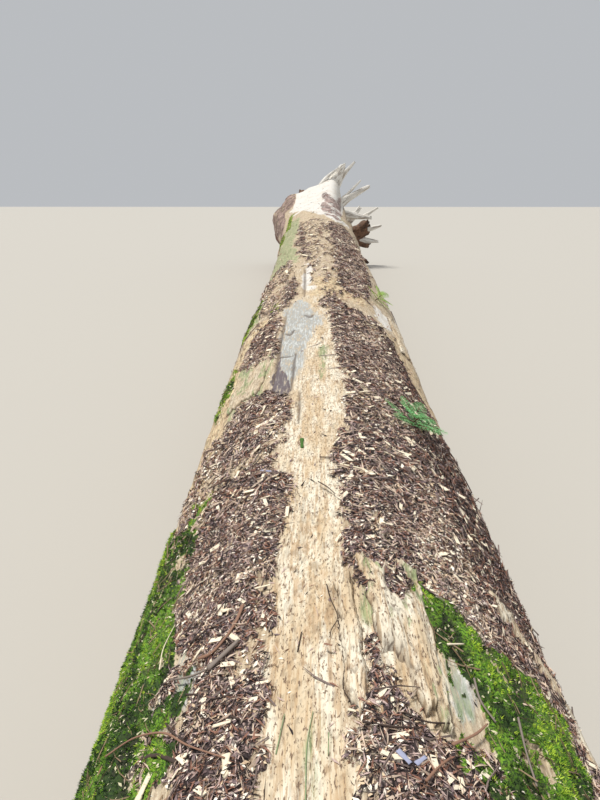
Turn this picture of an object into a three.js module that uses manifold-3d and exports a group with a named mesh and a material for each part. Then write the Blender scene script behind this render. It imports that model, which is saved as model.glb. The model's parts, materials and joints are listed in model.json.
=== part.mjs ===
// A fallen coast redwood, from its broken upper end to its upturned roots, in millimetres with +Z up.
// The trunk lies along +Y on level ground and its root plate stands at the +Y end.
// Around the trunk, an angle of 0 is straight up and a positive angle leans towards +X.
// A station is a distance along the trunk from the plane of the break towards the roots.

import * as THREE from "three";
import { mergeVertices } from "three/addons/utils/BufferGeometryUtils.js";
import Module from "manifold-3d";

const wasm = await Module();
wasm.setup();

// Driving dimensions of the trunk
const BREAK_RADIUS = 1070;
const TAPER = 0.0196;
const SETTLED = 0.93; // height of the trunk's axis as a share of its radius
const COLLAR_AT = 36700;
const FLARE_FROM = 26500;
const FLARE_GROWTH = 2.2;
const FLARE_ALL_ROUND = 120;
const SHOULDER_AT = 26000;
const UNDERSIDE_DEPTH = 780; // how far the underside of the root crown bulges past the collar
const RIM_DEPTH = 420; // length of the rounded rim between the collar and that underside
const BREAK_ZONE = 1500; // length over which the jagged break fades into the trunk

// Buttresses that stand out of the flare: angle and half width in degrees, height in millimetres
const BUTTRESSES = [
  { angle: -68, width: 32, height: 780 },
  { angle: -25, width: 26, height: 620 },
  { angle: 14, width: 20, height: 1180 },
  { angle: 112, width: 20, height: 300 },
  { angle: -125, width: 26, height: 260 },
  { angle: 165, width: 24, height: 300 },
];

// Fineness of the faceted solids
const TRUNK_SIDES = 60;
const ROOT_SIDES = 8;
const ROOT_STEPS = 7;

const SEAT = 0.4; // how far a piece's outline swells before it is cut from its neighbours, for clearance
const GROUND_SLAB = 4000;

// Colours of the weathered surfaces
const BARE_WOOD = { color: 0xc9ab78, roughness: 0.85, metalness: 0 };
const BLEACHED_WOOD = { color: 0xbdb4a2, roughness: 0.8, metalness: 0 };
const STAINED_WOOD = { color: 0x6a4a38, roughness: 0.92, metalness: 0 };
const SPLINTERED_WOOD = { color: 0xb07d4e, roughness: 0.85, metalness: 0 };
const GREEN_NEEDLES = { color: 0x5f9148, roughness: 0.7, metalness: 0 };

const radians = THREE.MathUtils.degToRad;
const { lerp, clamp, smoothstep } = THREE.MathUtils;

// Repeatable random numbers from 0 to 1
function seeded(seed) {
  let state = seed;
  return () => {
    state = (state * 1664525 + 1013904223) % 4294967296;
    return state / 4294967296;
  };
}

// Shortest way from one angle to another
function turnBetween(a, b) {
  return Math.atan2(Math.sin(a - b), Math.cos(a - b));
}

// The trunk's surface

function axisHeight(station) {
  return SETTLED * (BREAK_RADIUS + TAPER * station);
}

function flareShare(station) {
  return Math.pow(clamp((station - FLARE_FROM) / (COLLAR_AT - FLARE_FROM), 0, 1), FLARE_GROWTH);
}

function flareHeight(angle) {
  return BUTTRESSES.reduce((sum, b) => {
    const away = turnBetween(angle, radians(b.angle)) / radians(b.width);
    return sum + b.height * Math.exp(-away * away);
  }, FLARE_ALL_ROUND);
}

function shoulder(station) {
  const crest = (station - SHOULDER_AT) / 900;
  const dip = (station - SHOULDER_AT - 2000) / 1100;
  return 85 * Math.exp(-crest * crest) - 40 * Math.exp(-dip * dip);
}

function trunkRadius(station, angle) {
  const share = flareShare(station);
  const lumps =
    18 * Math.sin(station / 2300 + 2 * angle) +
    14 * Math.sin(station / 3700 - 3 * angle + 1.3) +
    10 * Math.sin(station / 5200 + 5 * angle);
  const flutes = (8 + 55 * share) * Math.sin(13 * angle + station / 9000);
  return BREAK_RADIUS + TAPER * station + share * flareHeight(angle) + shoulder(station) + lumps + flutes;
}

function trunkPoint(station, angle, radius) {
  return new THREE.Vector3(
    radius * Math.sin(angle),
    station,
    axisHeight(station) + radius * Math.cos(angle),
  );
}

// The way round the trunk, square to its axis and its radius
function directionRound(angle) {
  return new THREE.Vector3(Math.cos(angle), 0, -Math.sin(angle));
}

// How far the jagged break stands off its plane, at a share of the radius
function breakRelief(share, angle) {
  const slope = 210 * share * Math.cos(angle - 0.7);
  const steps = 95 * share * Math.sin(5 * angle + 2 + 3 * share);
  const teeth = 120 * share * share * Math.sin(11 * angle + 7 * share);
  return slope + steps + teeth;
}

// How far the underside of the root crown bulges past the collar, at a share of the radius
function undersideRelief(share, angle) {
  const dome = UNDERSIDE_DEPTH * (1 - share * share);
  return dome + 110 * share * Math.sin(4 * angle + 1) + 70 * share * Math.sin(7 * angle + 5 * share);
}

// Solids

function meshOf(geometry) {
  const bare = geometry.clone();
  bare.deleteAttribute("normal");
  bare.deleteAttribute("uv");
  return mergeVertices(bare, 1e-3);
}

function signedVolume(geometry) {
  const at = geometry.attributes.position;
  const corners = [new THREE.Vector3(), new THREE.Vector3(), new THREE.Vector3()];
  let total = 0;
  for (let i = 0; i < geometry.index.count; i += 3) {
    corners.forEach((corner, k) => corner.fromBufferAttribute(at, geometry.index.getX(i + k)));
    total += corners[0].dot(corners[1].clone().cross(corners[2]));
  }
  return total;
}

// A closed solid, each of whose corners may be moved outwards along its normal
function solidOf(geometry, swell = 0) {
  const merged = meshOf(geometry);
  const triangles = Uint32Array.from(merged.index.array);
  const outwards = Math.sign(signedVolume(merged));
  if (outwards < 0) triangles.reverse();
  merged.computeVertexNormals();
  const normals = merged.attributes.normal.array;
  const vertices = merged.attributes.position.array.map((value, i) => value + outwards * swell * normals[i]);
  return new wasm.Manifold(new wasm.Mesh({ numProp: 3, vertProperties: vertices, triVerts: triangles }));
}

function geometryOf(solid) {
  const mesh = solid.getMesh();
  const geometry = new THREE.BufferGeometry();
  geometry.setAttribute("position", new THREE.BufferAttribute(Float32Array.from(mesh.vertProperties), 3));
  geometry.setIndex(new THREE.BufferAttribute(Uint32Array.from(mesh.triVerts), 1));
  geometry.computeVertexNormals();
  return geometry;
}

function largestPiece(solid) {
  return solid.decompose().reduce((best, piece) => (piece.volume() > best.volume() ? piece : best));
}

// Turns a profile of radius shares and heights round its axis, then puts each point where place says
function turned(profile, sides, swell, place) {
  const outline = profile.map(([share, height]) => new THREE.Vector2(share, height));
  const geometry = new THREE.LatheGeometry(outline, sides);
  const at = geometry.attributes.position;
  for (let i = 0; i < at.count; i += 1) {
    const share = Math.hypot(at.getX(i), at.getZ(i));
    const angle = share > 1e-6 ? Math.atan2(at.getX(i), at.getZ(i)) : 0;
    const point = place(share, angle, at.getY(i));
    at.setXYZ(i, point.x, point.y, point.z);
  }
  return solidOf(geometry, swell);
}

function stationsBetween(from, to, count) {
  return Array.from({ length: count }, (_, i) => lerp(from, to, i / (count - 1)));
}

function trunkSolid(swell) {
  const body = [
    ...stationsBetween(0, BREAK_ZONE, 5),
    ...stationsBetween(3000, SHOULDER_AT - 900, 14),
    ...stationsBetween(SHOULDER_AT - 300, COLLAR_AT, 24),
  ];
  const crown = [
    [0.985, COLLAR_AT + 0.6 * RIM_DEPTH],
    [0.93, COLLAR_AT + RIM_DEPTH],
    ...[0.78, 0.52, 0.26, 0].map((share) => [share, COLLAR_AT + RIM_DEPTH]),
  ];
  const profile = [
    ...[0, 0.4, 0.72].map((share) => [share, 0]),
    ...body.map((station) => [1, station]),
    ...crown,
  ];
  return turned(profile, TRUNK_SIDES, swell, (share, angle, height) => {
    const station = Math.min(height, COLLAR_AT);
    const point = trunkPoint(station, angle, share * trunkRadius(station, angle));
    const broken = breakRelief(share, angle) * Math.max(1 - height / BREAK_ZONE, 0);
    const bulged = undersideRelief(share, angle) * smoothstep(height, COLLAR_AT, COLLAR_AT + RIM_DEPTH);
    point.y = height + broken + bulged;
    return point;
  });
}

// Everything below the level ground, where the trunk has sunk in
function groundSolid() {
  const slab = new THREE.BoxGeometry(30000, 60000, GROUND_SLAB);
  slab.translate(0, COLLAR_AT / 2, -GROUND_SLAB / 2);
  return solidOf(slab);
}

// One limb that tapers along a smooth path, with a ragged broken tip.
// Its width lies along the broad direction, and its thickness is a share of that.
function limbSolid({ path, girth, flat, broad, sides, steps, seed }, swell) {
  const curve = new THREE.CatmullRomCurve3(path, false, "centripetal");
  const tipDepth = Math.min(girth[1], (0.6 * curve.getLength()) / steps);
  const profile = [[0, 0], ...stationsBetween(0, 1, steps + 1).map((u) => [1, u]), [0, 1]];
  return turned(profile, sides, swell, (share, angle, u) => {
    const along = curve.getTangentAt(u);
    const wide = broad.clone().addScaledVector(along, -broad.dot(along)).normalize();
    const thick = new THREE.Vector3().crossVectors(along, wide);
    const knotty = 1 + 0.1 * Math.sin(9 * u + seed) + 0.08 * Math.sin(3 * angle + seed + 4 * u);
    const radius = lerp(girth[0], girth[1], Math.pow(u, 0.75)) * knotty;
    const point = curve.getPointAt(u);
    point.addScaledVector(wide, share * radius * Math.sin(angle));
    point.addScaledVector(thick, share * flat * radius * Math.cos(angle));
    const ragged = u === 1 ? share * tipDepth * (0.7 * Math.sin(2 * angle + seed) - 0.4) : 0;
    return point.addScaledVector(along, ragged);
  });
}

// The roots

// Each root leaves the crown at one angle and distance from the axis, and ends at another.
// The first ones are those that the view from the trunk shows, worked from the upper right down.
const PLATE_AT = 36900;
const SEEN_ROOTS = [
  { name: "root_right_burl", angle: [94, 77], reach: [1350, 2980], back: [350, 620], girth: [640, 330], flat: 0.75 },
  { name: "root_tall_slab", angle: [12, 19.8], reach: [1700, 4150], back: [-300, 0], girth: [700, 140], flat: 0.4 },
  { name: "root_tall_strand", angle: [-6, 16.5], reach: [2200, 3840], back: [-200, -240], girth: [180, 60], flat: 0.8 },
  { name: "root_crooked_horn", angle: [16, 26.2], reach: [2200, 4480], back: [150, 250], girth: [330, 50], flat: 0.6 },
  { name: "root_upper_arm", angle: [28, 46], reach: [1700, 3950], back: [-150, 150], girth: [330, 85], flat: 0.7, bow: 120 },
  { name: "root_upper_twig", angle: [33, 37.5], reach: [2500, 3840], back: [60, 20], girth: [105, 40], flat: 0.8, bow: 40 },
  { name: "root_side_arm", angle: [40, 71], reach: [1600, 3180], back: [0, 150], girth: [320, 85], flat: 0.8, bow: 300 },
  { name: "root_side_twig", angle: [67, 64.5], reach: [2800, 3710], back: [260, 120], girth: [110, 50], flat: 0.8 },
  { name: "root_level_prong", angle: [84, 80.8], reach: [1900, 3670], back: [400, 560], girth: [240, 70], flat: 0.7 },
  { name: "root_lower_prong", angle: [96, 95], reach: [1700, 3520], back: [500, 760], girth: [300, 90], flat: 0.7 },
  { name: "root_right_claw", angle: [66, 56], reach: [1700, 2900], back: [500, 1000], girth: [290, 95], flat: 0.7 },
];

// The rest of the plate, spread round the side and the underside that the view hides
const HIDDEN_ROOTS = 12;
const HIDDEN_FROM = 104;
const HIDDEN_TURN = 20.5;
const SINKER_ROOTS = 10;

function rootPath({ angle, reach, back, bow = 0 }, thickness) {
  const points = [0, 0.3, 0.65, 1].map((u) => {
    const a = radians(lerp(angle[0], angle[1], u));
    const point = trunkPoint(COLLAR_AT, a, lerp(reach[0], reach[1], u));
    const sideways = bow * Math.sin(Math.PI * u);
    point.x += sideways * Math.cos(a);
    point.z -= sideways * Math.sin(a);
    point.y = PLATE_AT + lerp(back[0], back[1], u);
    point.z = Math.max(point.z, thickness * lerp(0.75, 0.45, u));
    return point;
  });
  return points;
}

function rootLimb(root, index) {
  return {
    name: root.name,
    look: root.look ?? BLEACHED_WOOD,
    path: rootPath(root, root.girth[0] * root.flat),
    girth: root.girth,
    flat: root.flat,
    broad: directionRound(radians(root.angle[0])),
    sides: ROOT_SIDES,
    steps: ROOT_STEPS,
    seed: index * 1.7,
  };
}

function hiddenRoots() {
  const random = seeded(11);
  return Array.from({ length: HIDDEN_ROOTS }, (_, i) => {
    const angle = HIDDEN_FROM + i * HIDDEN_TURN;
    const left = angle > 200;
    const reach = left ? lerp(2450, 2850, random()) : lerp(2900, 3500, random());
    return {
      name: `root_rim_${String(i + 1).padStart(2, "0")}`,
      look: STAINED_WOOD,
      angle: [angle, angle + lerp(-9, 9, random())],
      reach: [1500, reach],
      back: [250, left ? lerp(1300, 2000, random()) : lerp(500, 1500, random())],
      girth: [lerp(340, 480, random()), lerp(110, 180, random())],
      flat: lerp(0.6, 0.85, random()),
      bow: lerp(-160, 160, random()),
    };
  });
}

// Broken roots that once went straight down, and now point away from the trunk
function sinkerRoots() {
  const random = seeded(31);
  return Array.from({ length: SINKER_ROOTS }, (_, i) => {
    const angle = i * 137.5 - 40;
    const near = 300 + i * 165;
    return {
      name: `root_sinker_${i + 1}`,
      look: STAINED_WOOD,
      angle: [angle, angle + lerp(-14, 14, random())],
      reach: [near, near * lerp(1.25, 1.6, random())],
      back: [300, i === 1 ? 2500 : lerp(1400, 2250, random())],
      girth: [lerp(300, 460, random()), lerp(120, 190, random())],
      flat: lerp(0.7, 0.95, random()),
    };
  });
}

// Splinters that stand out of the break

const SPLINTERS = 11;
const LONGEST_SPLINTER = 460;

function splinterLimbs() {
  const random = seeded(5);
  return Array.from({ length: SPLINTERS }, (_, i) => {
    const angle = radians(-150 + (i * 320) / SPLINTERS + 14 * random());
    const radius = BREAK_RADIUS * lerp(0.55, 0.86, random());
    const length = i === 4 ? LONGEST_SPLINTER : lerp(240, 400, random());
    const foot = trunkPoint(900, angle, radius);
    const tip = trunkPoint(0, angle, radius * lerp(0.96, 1.06, random()));
    tip.y = breakRelief(radius / BREAK_RADIUS, angle) - length;
    return {
      name: `splinter_${i + 1}`,
      look: SPLINTERED_WOOD,
      path: [foot, foot.clone().lerp(tip, 0.5), tip],
      girth: [lerp(180, 300, random()), 30],
      flat: lerp(0.35, 0.55, random()),
      broad: directionRound(angle),
      sides: 6,
      steps: 3,
      seed: i * 2.3,
    };
  });
}

// Slabs of sapwood that still cling to the upper side, near the break

const SLABS = [
  { name: "sapwood_slab_right", from: 2680, to: 3420, angle: [12.2, 9.2], width: [8, 14], thick: 42 },
  { name: "sapwood_slab_middle", from: 2650, to: 3330, angle: [1.8, 0], width: [3, 4], thick: 34 },
  { name: "sapwood_slab_left", from: 6150, to: 7450, angle: [-39, -37], width: [18, 22], thick: 30 },
  { name: "sapwood_slab_side", from: 8300, to: 10100, angle: [52, 54], width: [8, 12], thick: 34 },
];
const SLAB_ROOT = 60; // how deep a slab's blank reaches into the trunk before the trunk is cut from it

function slabSolid({ from, to, angle, width, thick }) {
  const blank = new THREE.BoxGeometry(1, 1, 1, 5, 9, 1);
  const at = blank.attributes.position;
  for (let i = 0; i < at.count; i += 1) {
    const across = at.getX(i);
    const along = at.getY(i) + 0.5;
    const raggedEnd = 130 * Math.sin(across * 19 + from);
    const raggedSide = 0.1 * Math.sin(along * 17 + 5 * across);
    const station = lerp(from, to, along) + raggedEnd * (along - 0.5);
    const swell = lerp(width[0], width[1], along) * (1 - 0.35 * Math.pow(2 * along - 1, 4));
    const a = radians(lerp(angle[0], angle[1], along) + across * swell * (1 + raggedSide));
    const edge = 1 - 0.55 * Math.pow(Math.abs(2 * across), 3);
    const lift = at.getZ(i) > 0 ? thick * edge : -SLAB_ROOT;
    const point = trunkPoint(station, a, trunkRadius(station, a) + lift);
    at.setXYZ(i, point.x, point.y, point.z);
  }
  return solidOf(blank);
}

// Green shoots rooted on the trunk's flank

const SHOOTS = [
  { name: "shoot_near", station: 5380, angle: 29.5, size: 360, sprays: 6 },
  { name: "shoot_far", station: 11050, angle: 42, size: 370, sprays: 5 },
];
const NEEDLE_PAIRS = 4;
const SPRAY_THICKNESS = 7;

// A flat spray of needles: a toothed blade that narrows to its tip
function sprayBlade(length, width) {
  const outline = new THREE.Shape();
  outline.moveTo(0, -width * 0.08);
  const half = (side) => {
    const order = stationsBetween(0, NEEDLE_PAIRS - 1, NEEDLE_PAIRS);
    const walk = side < 0 ? order : order.slice().reverse();
    walk.forEach((k) => {
      const u = (k + 0.5) / NEEDLE_PAIRS;
      const reach = (width / 2) * Math.sin(Math.PI * (0.18 + 0.78 * u));
      const valley = new THREE.Vector2(length * u, side * width * 0.09);
      const point = new THREE.Vector2(length * (u + 0.09), side * reach);
      (side < 0 ? [valley, point] : [point, valley]).forEach((p) => outline.lineTo(p.x, p.y));
    });
  };
  half(-1);
  outline.lineTo(length, 0);
  half(1);
  outline.lineTo(0, width * 0.08);
  return new THREE.ExtrudeGeometry(outline, { depth: SPRAY_THICKNESS, bevelEnabled: false });
}

function shootSolid({ station, angle, size, sprays }) {
  const a = radians(angle);
  const foot = trunkPoint(station, a, trunkRadius(station, a) - 20);
  const out = new THREE.Vector3(Math.sin(a), 0, Math.cos(a));
  const tip = foot.clone().addScaledVector(out, size * 0.34);
  tip.y -= size * 0.3;
  const stem = { path: [foot, foot.clone().lerp(tip, 0.5), tip], girth: [13, 8], flat: 1, seed: 0 };
  let whole = limbSolid({ ...stem, broad: directionRound(a), sides: 6, steps: 2 }, 0);
  for (let i = 0; i < sprays; i += 1) {
    const u = (i + 0.8) / sprays;
    const blade = sprayBlade(size * lerp(0.75, 0.5, u), size * 0.2);
    blade.translate(-10, 0, -SPRAY_THICKNESS / 2);
    const heading = new THREE.Euler(0, -0.25 - 0.12 * (i % 3), i * 2.4 + 0.5, "ZYX");
    const frame = new THREE.Matrix4().makeRotationFromEuler(heading);
    frame.setPosition(foot.clone().lerp(tip, Math.max(u, 0.35)));
    blade.applyMatrix4(frame);
    whole = whole.add(solidOf(blade));
  }
  return whole;
}

// The assembly

const tree = new THREE.Group();

function addPiece(name, solid, look) {
  const piece = new THREE.Mesh(geometryOf(solid), new THREE.MeshStandardMaterial(look));
  piece.name = name;
  tree.add(piece);
}

const ground = groundSolid();
const trunk = trunkSolid(0).subtract(ground);
const aroundTrunk = trunkSolid(SEAT);
addPiece("trunk", trunk, BARE_WOOD);

const roots = [...SEEN_ROOTS, ...hiddenRoots(), ...sinkerRoots()].map(rootLimb);
const placed = [];
[...roots, ...splinterLimbs()].forEach((limb) => {
  let solid = limbSolid(limb, 0).subtract(ground).subtract(aroundTrunk);
  placed.forEach((other) => {
    solid = solid.subtract(other);
  });
  addPiece(limb.name, largestPiece(solid), limb.look);
  placed.push(limbSolid(limb, SEAT));
});

SLABS.forEach((slab) => {
  addPiece(slab.name, largestPiece(slabSolid(slab).subtract(aroundTrunk)), BARE_WOOD);
});

SHOOTS.forEach((shoot) => {
  addPiece(shoot.name, largestPiece(shootSolid(shoot).subtract(aroundTrunk)), GREEN_NEEDLES);
});

// The origin is on the ground, under the middle of the whole tree
const extent = new THREE.Box3().setFromObject(tree);
const middle = extent.getCenter(new THREE.Vector3());
tree.position.set(-middle.x, -middle.y, 0);

export default tree;
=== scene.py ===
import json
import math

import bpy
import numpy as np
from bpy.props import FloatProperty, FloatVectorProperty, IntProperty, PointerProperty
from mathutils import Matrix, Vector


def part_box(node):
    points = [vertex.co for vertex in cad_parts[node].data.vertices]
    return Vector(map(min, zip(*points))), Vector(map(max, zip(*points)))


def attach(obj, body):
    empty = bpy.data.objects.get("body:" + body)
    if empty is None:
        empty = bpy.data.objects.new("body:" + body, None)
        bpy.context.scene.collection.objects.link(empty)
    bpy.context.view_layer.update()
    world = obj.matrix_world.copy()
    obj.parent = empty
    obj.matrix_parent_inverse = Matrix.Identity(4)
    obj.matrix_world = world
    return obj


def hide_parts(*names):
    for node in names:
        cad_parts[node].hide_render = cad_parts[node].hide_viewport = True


bl_info = {
    "name": "Fallen Redwood",
    "version": (1, 0, 0),
    "blender": (4, 5, 0),
    "location": "3D View > Sidebar > Redwood",
    "description": "Dresses a fallen redwood with weathered wood, litter, moss, roots and green shoots",
    "category": "Object",
}

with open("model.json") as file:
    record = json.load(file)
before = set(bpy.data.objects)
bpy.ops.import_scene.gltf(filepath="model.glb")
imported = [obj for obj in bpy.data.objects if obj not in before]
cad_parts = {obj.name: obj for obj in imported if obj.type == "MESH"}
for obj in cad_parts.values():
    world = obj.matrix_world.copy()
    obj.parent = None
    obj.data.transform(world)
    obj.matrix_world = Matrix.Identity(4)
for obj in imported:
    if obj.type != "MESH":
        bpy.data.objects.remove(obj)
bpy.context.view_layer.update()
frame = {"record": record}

# The tree's frame: a station is a distance in metres from the break towards the roots, and an
# angle round the trunk is 0 at the top and grows towards +X.
BREAK_RADIUS = 1.07
TAPER = 0.0196
SETTLED = 0.93
COLLAR_AT = 36.7
FLARE_FROM = 26.5
FLARE_GROWTH = 2.2
FLARE_ALL_ROUND = 0.12
SHOULDER_AT = 26.0
UNDERSIDE_DEPTH = 0.78
RIM_DEPTH = 0.42
BREAK_ZONE = 1.5

# Buttresses in the flare: angle and half width in degrees, height in metres
BUTTRESSES = [
    (-68, 32, 0.78),
    (-25, 26, 0.62),
    (14, 20, 1.18),
    (112, 20, 0.30),
    (-125, 26, 0.26),
    (165, 24, 0.30),
]

AXIS_X = frame["record"]["mounts"][0]["pos_m"][0]
BREAK_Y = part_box("trunk")[1].y - (COLLAR_AT + RIM_DEPTH + UNDERSIDE_DEPTH)

# The radius that turns an angle into a distance across the grain
GRAIN_RADIUS = 1.3

# The camera is held over the trunk, this far from the break
STAND_AT = 1.2
EYE_HEIGHT = 1.6
EYE_ASIDE = -0.117
LENS = 27.0
SENSOR = 36.0
PITCH_DOWN = 18.512
YAW_LEFT = 1.526
EYE_OVER_AXIS = BREAK_RADIUS + TAPER * STAND_AT + EYE_HEIGHT


# Sizes and colours that a user may change


def linear(code):
    """A display colour such as "#d9c08a" as linear red, green, blue and alpha."""
    shares = [int(code[i : i + 2], 16) / 255 for i in (1, 3, 5)]
    return tuple(s / 12.92 if s <= 0.04045 else ((s + 0.055) / 1.055) ** 2.4 for s in shares) + (1.0,)


def colour_property(name, description, code):
    return FloatVectorProperty(
        name=name, description=description, default=linear(code), subtype="COLOR", size=4, min=0.0, max=1.0
    )


class RedwoodSizes(bpy.types.PropertyGroup):
    grain_depth: FloatProperty(
        name="Grain depth", description="Depth of the weathered grain", default=0.007, unit="LENGTH"
    )
    flake_depth: FloatProperty(
        name="Flake depth", description="Height of a flake's edge", default=0.011, unit="LENGTH"
    )
    litter_depth: FloatProperty(
        name="Litter depth", description="Thickness of the litter", default=0.014, unit="LENGTH"
    )
    moss_depth: FloatProperty(
        name="Moss depth", description="Thickness of the moss", default=0.016, unit="LENGTH"
    )
    litter_share: FloatProperty(
        name="Litter", description="Share of the litter that is laid", default=1.0, min=0.0, max=2.0
    )
    seed: IntProperty(name="Seed", description="Start of every random rule", default=4, min=0)


class RedwoodColours(bpy.types.PropertyGroup):
    cream: colour_property("Cream wood", "Palest bare sapwood", "#e9e0cb")
    straw: colour_property("Straw wood", "Bare sapwood", "#d4c0a0")
    amber: colour_property("Amber wood", "Flaky yellow sapwood", "#ba9c76")
    fleck: colour_property("Flecks", "Dark flecks along the grain", "#6d5644")
    grey: colour_property("Grey wood", "Weathered grey wood", "#8b9194")
    white: colour_property("Bleached wood", "Wood bleached by the sun", "#e3e1dc")
    litter: colour_property("Litter", "Broken bark between the chips", "#957f7a")
    litter_shade: colour_property("Litter shade", "Gaps between the chips", "#33282a")
    soil: colour_property("Soil", "Soil and decay underneath", "#5b3b2c")
    moss: colour_property("Moss", "Bright moss", "#6f9c22")
    moss_shade: colour_property("Moss shade", "Shaded moss", "#2c4a10")
    algae: colour_property("Algae", "Pale green film", "#9ba677")
    needles: colour_property("Needles", "Needles of the near shoot", "#86d083")
    young_needles: colour_property("Young needles", "Needles of the far shoot", "#b9e863")


# Noise worked out on arrays


def lattice(x, y, z, seed):
    """A repeatable random share for each whole-number place."""
    mixed = (x * 73856093) ^ (y * 19349663) ^ (z * 83492791) ^ (seed * 2654435761)
    mixed &= 0xFFFFFFFF
    mixed = ((mixed ^ (mixed >> 13)) * 1274126177) & 0xFFFFFFFF
    return ((mixed ^ (mixed >> 16)) & 0xFFFF) / 65535.0


def noise(x, y, z, seed=0):
    """Smooth noise from 0 to 1 that changes about once a unit."""
    whole = [np.floor(v).astype(np.int64) for v in (x, y, z)]
    ease = []
    for value, base in zip((x, y, z), whole):
        t = value - base
        ease.append(t * t * t * (t * (t * 6 - 15) + 10))
    total = np.zeros_like(ease[0])
    for i in (0, 1):
        for j in (0, 1):
            for k in (0, 1):
                share = (ease[0] if i else 1 - ease[0]) * (ease[1] if j else 1 - ease[1])
                share = share * (ease[2] if k else 1 - ease[2])
                total += share * lattice(whole[0] + i, whole[1] + j, whole[2] + k, seed)
    return total


def fractal(place, scale, octaves=3, seed=0, falloff=0.5):
    """Noise from 0 to 1 with finer noise on it. scale is one number, or one for each axis."""
    fx, fy, fz = (scale, scale, scale) if np.isscalar(scale) else scale
    total = np.zeros(len(place))
    weight, full = 1.0, 0.0
    for octave in range(octaves):
        grow = 2.03**octave
        x, y, z = place[:, 0] * fx * grow, place[:, 1] * fy * grow, place[:, 2] * fz * grow
        total += weight * noise(x, y, z, seed + 17 * octave)
        full += weight
        weight *= falloff
    return total / full


def smoothstep(low, high, value):
    """0 at low, 1 at high, and smooth in between, also where high is below low."""
    t = np.clip((value - low) / (high - low), 0.0, 1.0)
    return t * t * (3 - 2 * t)


def seeded(seed):
    """The source's repeatable random numbers from 0 to 1."""
    state = seed
    while True:
        state = (state * 1664525 + 1013904223) % 4294967296
        yield state / 4294967296


def mix(a, b, share):
    return a + (b - a) * share


# The trunk's surface, by the source's rule


def turn_between(a, b):
    return np.arctan2(np.sin(a - b), np.cos(a - b))


def axis_height(station):
    return SETTLED * (BREAK_RADIUS + TAPER * station)


def flare_share(station):
    return np.clip((station - FLARE_FROM) / (COLLAR_AT - FLARE_FROM), 0, 1) ** FLARE_GROWTH


def ripples(station, angle):
    """The height of the lumps and flutes on the trunk."""
    lumps = (
        0.018 * np.sin(station / 2.3 + 2 * angle)
        + 0.014 * np.sin(station / 3.7 - 3 * angle + 1.3)
        + 0.010 * np.sin(station / 5.2 + 5 * angle)
    )
    flutes = (0.008 + 0.055 * flare_share(station)) * np.sin(13 * angle + station / 9.0)
    return lumps + flutes


def trunk_radius(station, angle):
    flare = FLARE_ALL_ROUND
    for middle, width, height in BUTTRESSES:
        away = turn_between(angle, math.radians(middle)) / math.radians(width)
        flare = flare + height * np.exp(-away * away)
    share = flare_share(station)
    crest = (station - SHOULDER_AT) / 0.9
    dip = (station - SHOULDER_AT - 2.0) / 1.1
    shoulder = 0.085 * np.exp(-crest * crest) - 0.040 * np.exp(-dip * dip)
    return BREAK_RADIUS + TAPER * station + share * flare + shoulder + ripples(station, angle)


def trunk_point(station, angle, radius, along=None):
    """Places in the frame's metres. along is where a point lies along +Y, if not at its station."""
    return np.stack(
        [
            AXIS_X + radius * np.sin(angle),
            BREAK_Y + (station if along is None else along) + 0 * radius,
            axis_height(station) + radius * np.cos(angle),
        ],
        -1,
    )


def break_relief(share, angle):
    slope = 0.210 * share * np.cos(angle - 0.7)
    steps = 0.095 * share * np.sin(5 * angle + 2 + 3 * share)
    teeth = 0.120 * share * share * np.sin(11 * angle + 7 * share)
    return slope + steps + teeth


def underside_relief(share, angle):
    dome = UNDERSIDE_DEPTH * (1 - share * share)
    return dome + 0.110 * share * np.sin(4 * angle + 1) + 0.070 * share * np.sin(7 * angle + 5 * share)


# What covers the trunk. A patch has how thickly it covers, from 0 to 1, and rows of metres ahead of the
# camera with its left and right edge in degrees, where they look to lie on a trunk without ripples.

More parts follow.
